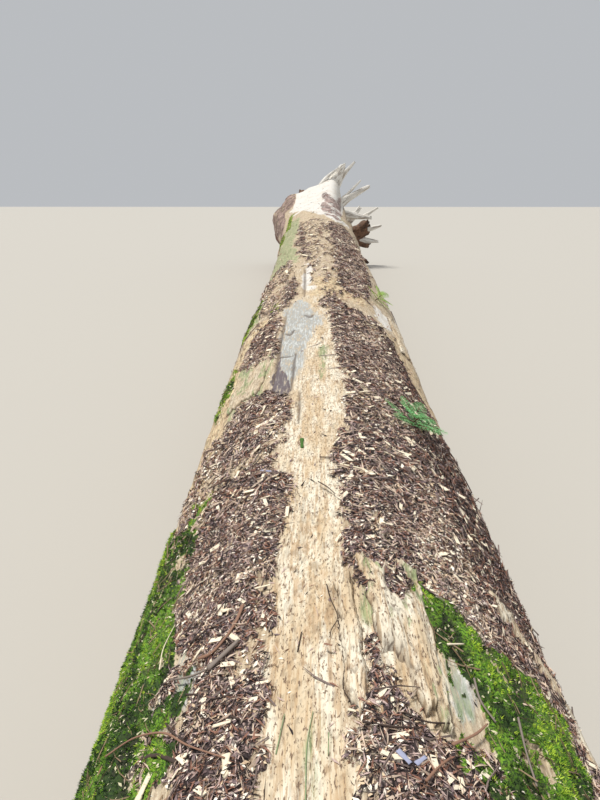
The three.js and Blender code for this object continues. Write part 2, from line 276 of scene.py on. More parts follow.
PATCHES = {
    "bright": [
        (1, [(-1.3, -22, 2), (1.2, -15, -0.5), (1.7, -16, 0.3), (2.2, -15.5, 0.3), (2.8, -13, 0),
             (3.0, -12.5, 0.3), (3.3, -16, 1.5), (3.7, -17, 3.5), (4.1, -15.5, 5), (4.5, -14, 6.2),
             (5.0, -13, 7.8), (5.5, -11, 6), (6.1, -9, 4), (6.6, -6, 3), (7.2, -4, 1), (7.7, -8, -0.5),
             (8.4, -12, -3), (9.2, -15, -5)]),
        (1, [(1.40, 1.0, 3.5), (1.6, 1.0, 17.5), (2.0, 1.6, 18), (2.2, 2.5, 15)]),
        (0.6, [(4.75, -44, -27), (5.9, -45, -25)]),
        (0.8, [(1.45, 12, 18), (1.7, 13, 19)]),
        (1, [(7.8, 33, 60), (9.0, 34, 60)]),
    ],
    "litter": [
        (1, [(-1.3, -58, -20), (1.2, -28, -15.5), (1.6, -30, -16), (1.9, -33, -16), (2.2, -42, -15.8),
             (2.6, -44, -15.4), (2.9, -46, -13.2), (3.1, -43, -13), (3.35, -40, -17.5), (3.6, -40, -17.5),
             (3.75, -46, -17.5), (4.1, -47, -16.5), (4.4, -46, -15), (4.55, -45, -16), (4.62, -44, -19.5),
             (4.87, -43, -24.5)]),
        (0.80, [(2.9, -60, -38), (3.8, -64, -38), (4.6, -64, -40)]),
        (0.55, [(1.3, -40, -29), (1.9, -40, -32)]),
        (1, [(-1.3, 3, 34), (1.2, -0.3, 33), (1.36, 0.3, 31), (1.42, 0.3, 28), (1.47, 0.5, 14),
             (1.54, 0.8, 11.5)]),
        (1, [(1.48, 3.4, 11), (1.62, 3.6, 10.5), (1.80, 5, 9)]),
        (1, [(2.08, 7, 14.5), (2.2, 1.5, 16), (2.32, 0.8, 62), (2.8, 0.4, 64), (3.1, 0.8, 66),
             (3.4, 2.2, 68), (3.7, 3.9, 68), (4.0, 5.3, 66), (4.5, 6.7, 60), (5.0, 8.2, 54), (5.5, 6, 47),
             (6.0, 4.4, 45), (6.5, 3.2, 44), (7.0, 1.8, 42), (7.5, 0.4, 37), (7.75, 0, 33)]),
        (1, [(7.6, -0.2, 13), (8.45, -1, 12)]),
        (1, [(1.2, 44, 70), (1.57, 47, 70), (1.75, 50, 70), (1.9, 42, 70), (1.97, 30, 70), (2.06, 26, 70),
             (2.15, 16, 70), (2.3, 12, 68)]),
        (0.45, [(8.3, 9, 16), (9.2, 10, 17)]),
        (1, [(8.9, 17, 31), (9.4, 12, 33), (10, 11, 36), (11, 9, 42), (12.5, 10, 45), (14, 11, 46),
             (15.5, 12, 48), (17, 12, 50), (20, 9, 46), (23.0, 8, 42)]),
        (1, [(5.95, -44, -26.5), (6.4, -50, -26), (7.2, -50, -27.5), (7.8, -44, -28.5)]),
        (0.95, [(8.0, -54, -27), (9.0, -52, -22), (10.2, -48, -20), (10.8, -50, -23)]),
        (1, [(10.6, -58, -26), (12, -58, -24), (13.1, -54, -27)]),
        (0.66, [(9.2, -8, 12), (12, -14, 12), (16, -26, 12), (24, -28, 8)]),
        (0.5, [(8.4, -3, 14), (9.4, -5, 12)]),
    ],
    "thin": [
        (1, [(1.72, -21.5, -15), (1.86, -21.5, -15)]),
        (1, [(1.66, -34, -28.5), (1.80, -34, -28), (1.94, -34, -27)]),
        (0.8, [(2.15, -22.5, -15.5), (2.40, -23.5, -16)]),
        (0.9, [(2.92, -30, -24), (3.12, -29, -24)]),
        (1, [(3.42, -37, -19), (3.62, -36, -17)]),
        (0.9, [(3.70, -23, -15), (3.95, -23, -14)]),
        (0.7, [(2.9, -62, -42), (4.6, -66, -44)]),
        (0.8, [(1.38, 12.4, 16.4), (1.48, 13, 16.4)]),
        (0.9, [(2.44, 8, 13), (2.75, 8, 12.5)]),
        (0.7, [(2.6, 36, 44), (2.9, 36, 44)]),
        (0.6, [(3.8, 9, 14), (5.0, 11, 17)]),
        (0.7, [(6.4, 26, 44), (7.6, 24, 40)]),
        (0.9, [(8.0, -54, -27), (13, -54, -20)]),
        (0.9, [(9, -8, 12), (24, -26, 9)]),
    ],
    "moss": [
        (1, [(-2.5, 34, 42), (0.2, 34, 48), (1.36, 32.5, 46), (1.48, 34, 47.5), (1.57, 34, 48.5),
             (1.61, 29, 49.5), (1.68, 25, 50.5), (1.80, 21, 51), (1.86, 16.5, 50), (1.93, 16, 42),
             (1.98, 16.5, 32), (2.06, 17, 29), (2.14, 15.8, 25), (2.22, 15, 18)]),
        (0.85, [(1.47, 22, 32), (1.56, 25.5, 31), (1.66, 25, 30)]),
        (0.58, [(1.0, 19, 33), (1.3, 19, 34), (1.50, 18, 34)]),
        (0.45, [(1.56, 16, 21), (1.80, 17, 21)]),
        (1, [(-2.5, -68, -46), (1.0, -76, -34), (1.35, -76, -36.5), (1.6, -76, -39), (1.78, -76, -39),
             (1.86, -76, -37.5), (2.0, -76, -36.5), (2.17, -76, -38), (2.3, -76, -42), (2.55, -76, -41)]),
        (0.72, [(2.5, -76, -41), (2.75, -78, -41), (3.0, -78, -41), (3.1, -78, -47), (3.3, -78, -60),
             (3.7, -78, -70)]),
        (0.66, [(1.25, -38, -29), (1.5, -38, -29), (1.58, -38, -33)]),
        (0.56, [(1.62, -39, -30.5), (1.84, -39, -30)]),
        (0.50, [(3.2, -50, -38), (3.55, -52, -44)]),
        (0.7, [(5.6, -70, -54), (6.8, -66, -54)]),
        (0.8, [(8.25, -33.5, -29.5), (9.0, -36, -32)]),
        (0.62, [(9, -74, -56), (11, -74, -54)]),
        (1, [(22.5, -76, -60), (24.2, -74, -58), (26, -70, -52), (28.5, -62, -47), (29.4, -56, -44),
             (30.8, -46, -39)]),
    ],
    "algae": [
        (0.9, [(12.7, -56, -21.5), (13.4, -62, -22), (15.5, -66, -29.5), (18, -66, -32), (21, -62, -27),
             (24, -56, -28), (28, -48, -32)]),
        (0.8, [(8.7, -70, -46), (11.2, -70, -46)]),
        (0.62, [(1.86, 3.6, 8.2), (2.14, 3.8, 9.5)]),
        (0.66, [(-1.0, -8.2, -5.4), (1.21, -7.3, -5.2), (1.38, -7.1, -5.0), (1.46, -6.3, -4.6),
             (1.52, -5.6, -4.4)]),
        (0.55, [(1.21, -5.6, -4.4), (1.33, -5.2, -4.0), (1.44, -4.7, -3.2), (1.55, -4.1, -2.7)]),
        (0.5, [(1.6, -35, -31.5), (1.9, -34, -30), (2.05, -35, -33)]),
        (0.50, [(1.52, 15.8, 23), (1.86, 16.5, 21)]),
        (0.62, [(4.8, -5.5, -1.5), (5.3, -4.6, 0.2), (5.9, -4, 0.8)]),
        (0.6, [(4.6, -46, -27), (5.9, -48, -26)]),
        (0.5, [(25, 33, 46), (29, 33, 46)]),
    ],
    "grey": [
        (1, [(4.55, -23.5, -15.5), (4.9, -24, -14), (5.3, -24, -12), (5.8, -24, -10), (6.3, -24, -7),
             (6.95, -24.5, -3.2), (7.5, -24, -4.2), (8.0, -23, -12), (8.4, -22, -17)]),
        (0.9, [(1.55, -38, -31), (1.70, -37, -28), (1.96, -35, -27)]),
        (0.7, [(1.52, 15.5, 23), (1.7, 15.5, 25), (1.82, 16, 22)]),
        (0.55, [(1.36, -30, -28.6), (1.44, -30, -28.6)]),
        (0.8, [(1.85, 15.2, 18.2), (2.06, 15.5, 18.5)]),
        (0.4, [(4.75, -44, -27), (5.9, -45, -25)]),
    ],
    "white": [
        (0.35, [(6.6, -17, -5), (7.5, -20, -5), (8.2, -18, -9), (9, -15, -8)]),
        (0.8, [(9, -15, -8), (10, -17, -9), (11.3, -17, -8), (12, -16, -10)]),
        (1, [(23.8, 12, 38), (25.5, 3, 36), (27.2, -3.5, 36), (28.85, -17, 36), (30.1, -33, 38),
             (32, -46, 40), (33.5, -39, 41), (35.25, -19, 42), (40, -17, 42)]),
        (0.45, [(1.50, 16.5, 21), (1.6, 16, 24.5), (1.74, 16, 23.5), (1.86, 17, 19)]),
        (0.7, [(7.8, 33, 60), (9.0, 34, 60)]),
    ],
    "rosy": [
        (1, [(24.2, 20, 34), (25.5, 14, 36), (26.6, 9, 36), (27.5, 7, 34), (27.9, 14, 30)]),
        (1, [(28.0, 5, 26), (28.8, 2, 34), (29.5, 1, 38), (30.2, 2, 41), (30.5, 8, 41)]),
        (1, [(30.9, 6, 36), (31.4, 4, 36), (32.3, 3, 34), (33.1, 8, 32)]),
        (1, [(30.0, -84, -68), (31.2, -84, -60), (32.65, -82, -52), (33.5, -90, -42), (34.3, -90, -33),
             (35.25, -84, -22), (40, -96, -20)]),
    ],
    "amber": [
        (0.9, [(3.0, -82, -50), (3.9, -80, -47), (5.2, -76, -45), (6.4, -72, -46), (8.2, -60, -30)]),
        (0.9, [(8.3, -6, 30), (9.0, -8, 30), (10.2, -8, 16)]),
        (0.30, [(10, -29, 12), (16, -28, 11), (23, -26, 8)]),
        (0.8, [(2.5, 7.5, 12.5), (2.85, 8, 12)]),
        (0.8, [(4.15, -27, -18), (4.35, -27, -19)]),
        (0.8, [(10.3, -33, -26), (10.8, -33, -27)]),
        (0.7, [(4.0, 12, 19), (4.5, 13, 20)]),
        (0.6, [(4.4, 44, 66), (7.7, 38, 62)]),
        (0.5, [(1.75, -12, 0.5), (2.2, -13, 0), (2.8, -12, -0.5)]),
    ],
    "stain": [
        (1, [(4.5, -22.5, -16), (4.8, -24, -15.5), (5.15, -24, -19), (5.4, -24, -21.5), (6.0, -24, -22.6)]),
        (0.8, [(34.5, 28, 42), (36.7, 28, 48)]),
    ],
    "clear": [
        (1, [(1.2, 51, 67), (1.66, 53, 67), (1.8, 53.5, 67), (1.9, 52.5, 67), (1.99, 50, 66),
             (2.04, 48.5, 64), (2.08, 47, 60), (2.12, 45.5, 52), (2.17, 42.5, 47.5), (2.25, 37, 44.5),
             (2.32, 36, 42), (2.40, 36.5, 40)]),
    ],
    # Hollows in the moss, sunk and painted dark: painted shade
    "deep": [
        (1, [(1.64, 30.5, 34), (1.73, 31, 37), (1.80, 32.5, 38), (1.88, 33.5, 38.5), (1.93, 35, 37.5)]),
        (0.8, [(1.30, -54, -48), (1.42, -50, -44)]),
        (0.8, [(1.62, -50, -46), (1.74, -49, -44)]),
        (0.8, [(1.98, -46, -42), (2.10, -45, -41)]),
    ],
    # Moss painted as sunlit
    "lit": [
        (1, [(1.76, 20, 30), (2.0, 16, 30), (2.2, 15, 24)]),
    ],
    # Painted shade over the litter on the right flank
    "umber": [
        (1, [(2.2, 40, 90), (2.6, 34, 90), (3.2, 31, 90), (4.4, 32, 90), (6.0, 32, 90), (8.0, 30, 90)]),
    ],
    # Soil underneath and under the left lobe: partly the soil's own colour, partly painted shade
    "soil": [
        (1, [(-1.3, 118, 181), (20, 112, 181), (36.7, 96, 181)]),
        (1, [(-1.3, -181, -118), (20, -181, -112), (30, -181, -100), (36.7, -181, -80)]),
    ],
}
# Degrees over which the edge of each kind fades
EDGE_SOFTNESS = {
    "bright": 2.6, "litter": 4.0, "thin": 2.4, "moss": 2.4, "algae": 2.2, "grey": 4.5, "white": 2.0,
    "rosy": 3.0, "amber": 4.0, "stain": 1.6, "clear": 1.4, "deep": 2.4, "lit": 2.4, "umber": 6.0, "soil": 9.0,
}
# How far a covering stands above the wood, in metres
THICKNESS = {"litter": 0.022, "thin": 0.022, "moss": 0.018, "deep": 0.018}
# Degrees that loose chips stray beyond the litter
SPILL_REACH = 9.0

# The ridge of the shoulder: degrees, then metres ahead of the camera
RIDGE = ([-40, -25.5, -6, 9, 23, 35], [29.5, 29.3, 27.2, 24.1, 23.5, 24.2])

# Open checks in the wood, with painted shadow in them: width and depth in metres, then angle and metres ahead
# along each
CHECKS = [
    (0.010, 0.009, [(-3.2, 2.12), (-2.5, 2.04), (-1.5, 1.97), (-1.2, 1.92), (-2.5, 1.86), (-2.8, 1.82)]),
    (0.010, 0.009, [(-1.2, 1.91), (-0.5, 1.84), (0.0, 1.78), (-0.2, 1.68), (-0.8, 1.59), (0.2, 1.54),
                     (1.5, 1.46)]),
    (0.008, 0.006, [(-9.5, 2.2), (-8.4, 2.9)]),
    (0.009, 0.008, [(-5.0, 3.02), (-2.8, 2.93), (-0.4, 2.88)]),
    (0.013, 0.010, [(-11.5, 3.9), (-11.8, 4.6)]),
    (0.014, 0.014, [(-15.5, 4.6), (-15.0, 5.7)]),
    (0.018, 0.020, [(-24.0, 4.9), (-24.2, 6.4), (-23.6, 7.9)]),
    (0.018, 0.012, [(-24.0, 5.75), (-16.0, 5.60)]),
    (0.020, 0.012, [(-22.0, 6.65), (-19.0, 6.5), (-17.0, 6.7)]),
    (0.022, 0.012, [(-12.0, 7.35), (-8.5, 7.15), (-7.0, 7.3)]),
    (0.020, 0.016, [(-13.0, 8.5), (-14.5, 11.5)]),
]


def shift_seen(station, angle, rise):
    """How much farther ahead, and farther round, a raised place looks to lie on the smooth trunk."""
    eye_above = EYE_OVER_AXIS * np.cos(angle) + EYE_ASIDE * np.sin(angle) - (EYE_OVER_AXIS - EYE_HEIGHT)
    share = rise * np.maximum(eye_above, 0) / (eye_above**2 + 0.1)
    eye_aside = EYE_OVER_AXIS * np.sin(angle) - EYE_ASIDE * np.cos(angle)
    return share * (station - STAND_AT), share * eye_aside / (BREAK_RADIUS + TAPER * station)


def patch_share(rows, ahead, degrees, softness):
    """How far inside a patch each place lies, from 0 to 1."""
    at, left, right = (np.array(column, float) for column in zip(*rows))
    inside = smoothstep(-softness, softness, degrees - np.interp(ahead, at, left))
    inside = inside * smoothstep(-softness, softness, np.interp(ahead, at, right) - degrees)
    reach = (0.02 + 0.012 * abs(at[0])) * softness
    begun = smoothstep(at[0] - reach, at[0] + reach, ahead)
    return inside * (begun * smoothstep(-at[-1] - reach, -at[-1] + reach, -ahead))


def grain_place(station, angle):
    """Coordinates that run along the grain and across it, with no seam round the trunk."""
    return np.stack([station, GRAIN_RADIUS * np.sin(angle), GRAIN_RADIUS * np.cos(angle)], -1)


def broken(share, grit, contrast):
    """A covering whose edge breaks up into islands, as the grit says."""
    return smoothstep(0.42, 0.58, share + contrast * smoothstep(0.0, 0.25, share) * (grit - 0.5))


def distance_to_line(ahead, degrees, line):
    """Metres from each place to a line of angles and metres ahead, and the share of the line."""
    across = np.radians(degrees) * BREAK_RADIUS
    nearest = np.full(len(ahead), 9.0)
    share = np.zeros(len(ahead))
    for i, ((from_angle, from_ahead), (to_angle, to_ahead)) in enumerate(zip(line, line[1:])):
        start = np.array([math.radians(from_angle) * BREAK_RADIUS, from_ahead])
        step = np.array([math.radians(to_angle) * BREAK_RADIUS, to_ahead]) - start
        t = ((across - start[0]) * step[0] + (ahead - start[1]) * step[1]) / np.dot(step, step)
        t = np.clip(t, 0, 1)
        away = np.hypot(across - start[0] - t * step[0], ahead - start[1] - t * step[1])
        share = np.where(away < nearest, (i + t) / (len(line) - 1), share)
        nearest = np.minimum(nearest, away)
    return nearest, share


def stepped(place, scale, seed, levels):
    """Overlapping flakes: the height of each place in flakes, and where their edges are."""
    height = fractal(place, scale, 3, seed) * levels
    part = height - np.floor(height)
    return np.floor(height) + smoothstep(0.80, 1.0, part), smoothstep(0.72, 0.88, part)


def surface_at(station, angle, sizes):
    """The relief in metres and the share of each covering, at places on the trunk."""
    place = grain_place(station, angle)
    angle = (angle + math.pi) % (2 * math.pi) - math.pi
    ahead = station - STAND_AT

    def bumps(along, across, octaves, seed, falloff=0.5):
        """Noise with so many bumps a metre along and across the grain."""
        return fractal(place, (along, across, across), octaves, seed, falloff)

    far = smoothstep(4.0, 10.0, ahead)
    swells = 0.05 * (bumps(0.35, 1.3, 3, 61) - 0.5) * smoothstep(3.0, 9.0, ahead)
    uneven = ripples(station, angle) + swells
    grit = mix(bumps(13.0, 20.0, 4, 3, 0.7), bumps(1.8, 12.0, 4, 9, 0.7), far)
    calm = 1 - 0.6 * smoothstep(20.0, 24.0, ahead)
    wander = (bumps(2.2, 7.0, 3, 5) - 0.5) * (6.0 + 7.0 * far) * calm
    slip = (bumps(5.0, 9.0, 3, 7) - 0.5) * (0.08 + 0.6 * far) * calm
    cover = {}
    near_litter = np.zeros(len(station))
    for kind, patches in PATCHES.items():
        farther, rounder = shift_seen(station, angle, uneven + THICKNESS.get(kind, 0.0))
        seen_ahead, seen_degrees = ahead + farther, np.degrees(angle + rounder) + wander
        cover[kind] = np.zeros(len(station))
        for strength, rows in patches:
            inside = patch_share(rows, seen_ahead + slip, seen_degrees, EDGE_SOFTNESS[kind])
            cover[kind] = np.maximum(cover[kind], strength * inside)
            if kind == "litter":
                strayed = patch_share(rows, seen_ahead, seen_degrees, SPILL_REACH)
                near_litter = np.maximum(near_litter, strength * strayed)
    farther, rounder = shift_seen(station, angle, uneven)
    ahead, degrees = ahead + farther, np.degrees(angle + rounder)

    cover["moss"] = broken(cover["moss"], bumps(9.0, 15.0, 4, 33, 0.7), 2.4)
    laid = cover["litter"] * (1 - 0.62 * cover["thin"]) * (1 - 0.9 * cover["clear"])
    cover["litter"] = broken(laid, grit, 2.2) * (1 - cover["moss"])
    bare = 1 - np.maximum(cover["litter"], cover["moss"])
    on_top = smoothstep(100.0, 84.0, np.abs(np.degrees(angle)))
    loose = (0.010 + 0.24 * near_litter**3) * (1 - 0.8 * cover["grey"]) * (1 - 0.6 * cover["moss"])
    loose = loose * (1 - cover["clear"])
    cover["spill"] = np.maximum(cover["litter"], loose) * on_top
    cover["bare"] = bare * (1 - 0.7 * cover["grey"]) * (1 - 0.8 * cover["white"]) * on_top
    cover["tufts"] = cover["moss"] * on_top
    cover["far"] = far

    zones = 0.75 * smoothstep(0.52, 0.66, bumps(1.7, 4.2, 3, 65))
    # Fewer pale crumbs and chips where the right flank's painted shade lies
    cover["thin"] = np.maximum(cover["thin"], zones) * (1 - 0.8 * cover["umber"])
    cover["pale_spill"] = cover["spill"] * (0.30 + 0.70 * cover["thin"]) * (1 - 0.7 * cover["umber"])
    cover["dusty_spill"] = cover["spill"] * (1 - 0.75 * cover["umber"])
    cover["dark_spill"] = cover["spill"] * (1 - 0.65 * cover["thin"])
    # Noise that picks where the moss is painted in shade and where its tufts are painted sunlit
    glades = bumps(3.0, 6.5, 3, 67) + 0.12 * cover["lit"]
    cover["shade"] = cover["moss"] * np.maximum(smoothstep(0.44, 0.33, glades), cover["deep"])
    cover["shade"] *= smoothstep(22.0, 16.0, ahead)
    cover["sunny_tufts"] = cover["tufts"] * (0.10 + 0.90 * smoothstep(0.46, 0.62, glades))
    cover["sunny_tufts"] *= 1 - cover["deep"]
    cover["shady_tufts"] = cover["tufts"] * (0.25 + 0.75 * smoothstep(0.54, 0.40, glades))

    grain = bumps(2.4, 26.0, 3, 41) - 0.5
    fibres = bumps(9.0, 64.0, 2, 43) - 0.5
    rough = (0.35 + 0.65 * bare) * (1 - 0.6 * cover["grey"])
    relief = sizes.grain_depth * (1.3 * grain + 0.9 * fibres) * rough

    step, edge = stepped(place, (2.4, 8.0, 8.0), 47, 6.0)
    flaky = np.maximum(cover["amber"], 0.35 * (1 - cover["bright"])) * bare * (1 - 0.8 * cover["grey"])
    relief += sizes.flake_depth * (step - 3.0) * flaky
    splinter, splinter_edge = stepped(place, (4.5, 24.0, 24.0), 49, 7.0)
    relief += 0.22 * sizes.flake_depth * (splinter - 3.5) * cover["bright"] * bare
    # Painted shade along the raised edges of flakes and splinters, less on the bleached wood
    dark = np.maximum(0.8 * edge * flaky, 0.4 * splinter_edge * cover["bright"] * bare)
    dark = dark * (1 - 0.75 * cover["white"])

    clods = mix(bumps(16.0, 16.0, 4, 53, 0.7), bumps(2.6, 12.0, 4, 55, 0.7), far) - 0.36
    relief += cover["litter"] * sizes.litter_depth * (0.5 + 2.6 * clods) * (1 + 1.4 * far)
    cushions = bumps(9.0, 13.0, 4, 59, 0.6) - 0.34
    relief += cover["moss"] * sizes.moss_depth * (0.3 + 3.0 * cushions)
    relief -= 0.018 * cover["moss"] * cover["deep"]
    relief += 0.026 * cover["clear"]
    # Low places in the litter and the moss, which the finish darkens: painted shade in the hollows
    cover["hollow"] = cover["litter"] * smoothstep(0.15, 0.03, clods)
    cover["hollow"] += cover["moss"] * smoothstep(0.12, 0.02, cushions)

    for width, depth, line in CHECKS:
        away, t = distance_to_line(ahead, degrees, line)
        taper = np.clip(4 * t * (1 - t), 0, 1) ** 0.5
        gap = np.exp(-(((away + 0.004 * fibres) / (width * (0.2 + 0.8 * taper))) ** 2))
        relief -= depth * gap
        # Painted shadow in the open checks
        dark = np.maximum(dark, gap * mix(0.3, 1.0, smoothstep(2.5, 4.0, ahead)))

    ridge = np.interp(degrees, *RIDGE)
    lip = np.exp(-(((ahead - ridge + 0.7 * (grit - 0.5)) / 0.20) ** 2))
    lip *= smoothstep(50.0, 40.0, np.abs(degrees))
    relief += 0.05 * lip + swells
    # Painted shadow in the dip behind the crest, where the bleached wood thins
    dip_shade = np.exp(-(((ahead - ridge - 0.9) / 0.45) ** 2))
    relief += 0.16 * (bumps(2.0, 6.0, 4, 63, 0.6) - 0.5) * cover["rosy"]
    cover["white"] = np.maximum(cover["white"] * (1 - 0.25 * dip_shade), lip)
    cover["bright"] = np.maximum(cover["bright"], cover["clear"])
    cover["dark"] = dark
    return relief, cover


# Meshes from arrays


def plain_mesh(name, points, quads, triangles, fields=None):
    """A smooth mesh from arrays, with a named number or vector on each point."""
    mesh = bpy.data.meshes.new(name)
    loops = np.concatenate([np.asarray(quads, np.int32).ravel(), np.asarray(triangles, np.int32).ravel()])
    sides = np.repeat([4, 3], [len(quads), len(triangles)])
    starts = np.concatenate([[0], np.cumsum(sides)[:-1]]).astype(np.int32)
    mesh.vertices.add(len(points))
    mesh.vertices.foreach_set("co", np.asarray(points, np.float32).ravel())
    mesh.loops.add(len(loops))
    mesh.loops.foreach_set("vertex_index", loops)
    mesh.polygons.add(len(starts))
    mesh.polygons.foreach_set("loop_start", starts)
    mesh.update(calc_edges=True)
    mesh.polygons.foreach_set("use_smooth", np.ones(len(starts), bool))
    for field, values in (fields or {}).items():
        values = np.asarray(values, np.float32)
        if values.ndim == 1:
            mesh.attributes.new(field, "FLOAT", "POINT").data.foreach_set("value", values)
        else:
            mesh.attributes.new(field, "FLOAT_VECTOR", "POINT").data.foreach_set("vector", values.ravel())
    return mesh


def show(name, mesh, material, nodes=()):
    """Puts a finished mesh in the scene as a piece of the tree."""
    piece = bpy.data.objects.new(name, mesh)
    bpy.context.scene.collection.objects.link(piece)
    mesh.materials.clear()
    mesh.materials.append(material)
    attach(piece, "root")
    if nodes:
        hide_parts(*nodes)
    return piece


def grid_quads(rows, columns, closed):
    """Quads of a grid whose columns run round the trunk, facing outwards."""
    i, j = np.meshgrid(np.arange(rows - 1), np.arange(columns if closed else columns - 1), indexing="ij")
    k = (j + 1) % columns
    lower, upper = i * columns, (i + 1) * columns
    return np.stack([lower + j, lower + k, upper + k, upper + j], -1).reshape(-1, 4)


def fan(centre, ring, closed, outwards):
    """Triangles from one point to a row of points."""
    following = np.roll(ring, -1) if closed else ring[1:]
    ring = ring if closed else ring[:-1]
    first, second = (ring, following) if outwards else (following, ring)
    return np.stack([np.full(len(ring), centre), first, second], -1)


def steps_between(start, end, spacing):
    """Places from start to end, spaced as spacing(place) says."""
    places = [start]
    while places[-1] < end:
        places.append(places[-1] + spacing(places[-1]))
    places = np.array(places)
    return start + (places - start) * (end - start) / (places[-1] - start)


# The trunk in bays, finest where the view comes closest

# The station inside the log where the meshes of the break close
BREAK_CORE_AT = 0.7
ROW_SPACING = (
    [0, 2.2, 2.25, 4.1, 5.4, 8.2, 14.0, 24.0, 36.7],
    [0.024, 0.022, 0.0075, 0.0082, 0.0115, 0.018, 0.034, 0.055, 0.055],
)
BAY_ENDS = [0.0, 2.25, 4.1, 8.2, 12.3, 16.4, 20.5, 24.6, 28.7, 32.7, COLLAR_AT]
SPLIT_BAYS = 3
SPLIT_ANGLE = 64.0
TOP_SPACING = [0.022, 0.0076, 0.0122, 0.022, 0.030, 0.038, 0.044, 0.046, 0.046, 0.046]
SIDE_SPACING = [0.050, 0.050, 0.052, 0.06, 0.065, 0.07, 0.07, 0.07, 0.07, 0.07]


def columns_of(bay, start, end):
    """Angles in radians from start to end in degrees, closer together over the top."""
    middle = (BAY_ENDS[bay] + BAY_ENDS[bay + 1]) / 2
    radius = BREAK_RADIUS + TAPER * middle + 0.5 * float(flare_share(middle))

    def spacing(degrees):
        over_top = abs(turn_between(math.radians(degrees), 0.0)) < math.radians(SPLIT_ANGLE + 3)
        return math.degrees((TOP_SPACING if over_top else SIDE_SPACING)[bay] / radius)

    return np.radians(steps_between(start, end, spacing))


def break_jag(share, angle):
    """Fine torn fibres on the break."""
    place = np.stack([share * np.sin(angle), share * np.cos(angle), 0 * angle], -1)
    coarse = fractal(place, 9.0, 3, 71) - 0.5
    fine = fractal(place, 34.0, 2, 73) - 0.5
    return 0.16 * coarse + 0.075 * fine


def bay_mesh(name, bay, start, end, closed, sizes):
    """One length of trunk between two angles, closed behind by fans to its axis."""
    rows = steps_between(
        BAY_ENDS[bay], BAY_ENDS[bay + 1], lambda station: float(np.interp(station, *ROW_SPACING))
    )
    columns = columns_of(bay, start, end)
    if closed:
        columns = columns[:-1]
    station, angle = (grid.ravel() for grid in np.meshgrid(rows, columns, indexing="ij"))
    relief, cover = surface_at(station, angle, sizes)
    torn = break_relief(1.0, angle) + break_jag(np.ones_like(angle), angle)
    along = station + torn * np.clip(1 - station / BREAK_ZONE, 0, 1)
    points = trunk_point(station, angle, trunk_radius(station, angle) + relief, along)
    points[:, 2] = np.maximum(points[:, 2], 0.0)
    closing_at = np.array([BREAK_CORE_AT if bay == 0 else rows[0], rows[-1]])
    ends = trunk_point(closing_at, np.zeros(2), np.zeros(2))
    count, width = len(points), len(columns)
    first = np.arange(width)
    last = first + count - width
    triangles = [fan(count, first, closed, False), fan(count + 1, last, closed, True)]
    if not closed:
        left = np.arange(len(rows)) * width
        triangles += [fan(count, left, False, True), [[count, left[-1], count + 1]]]
        right = left + width - 1
        triangles += [fan(count, right, False, False), [[count, count + 1, right[-1]]]]
    fields = {kind: np.append(share, [0, 0]) for kind, share in cover.items()}
    fields["grain"] = np.concatenate([grain_place(station, angle), [[rows[0], 0, 0], [rows[-1], 0, 0]]])
    return plain_mesh(
        name,
        np.concatenate([points, ends]),
        grid_quads(len(rows), width, closed),
        np.concatenate(triangles),
        fields,
    )


def disc_mesh(name, rows, columns, place_of, fields_of, inner_at, facing):
    """A face turned round the trunk's axis from its rim to its middle, closed behind at inner_at."""
    share, angle = (grid.ravel() for grid in np.meshgrid(rows, columns, indexing="ij"))
    points = place_of(share, angle)
    points[:, 2] = np.maximum(points[:, 2], 0.0)
    count, width = len(points), len(columns)
    middle = place_of(np.array([rows[-1] + 1e-9]), np.array([0.0]))
    ends = np.concatenate([middle, inner_at])
    last = np.arange(width) + count - width
    quads = grid_quads(len(rows), width, True)
    triangles = [fan(count, last, True, True), fan(count + 1, np.arange(width), True, False)]
    if facing < 0:
        quads = quads[:, ::-1]
        triangles = [t[:, ::-1] for t in triangles]
    fields = fields_of(np.append(share, [rows[-1], rows[0]]), np.append(angle, [0, 0]))
    return plain_mesh(name, np.concatenate([points, ends]), quads, np.concatenate(triangles), fields)


# Shader maths


class Value:
    """A shader socket that takes part in Python sums."""

    def __init__(self, finish, socket):
        self.finish = finish
        self.socket = socket

    def math(self, operation, first, second):
        return self.finish.add("ShaderNodeMath", {"operation": operation}, {0: first, 1: second})

    def __add__(self, other):
        return self.math("ADD", self, other)

    __radd__ = __add__

    def __sub__(self, other):
        return self.math("SUBTRACT", self, other)

    def __rsub__(self, other):
        return self.math("SUBTRACT", other, self)

    def __mul__(self, other):
        return self.math("MULTIPLY", self, other)

    __rmul__ = __mul__


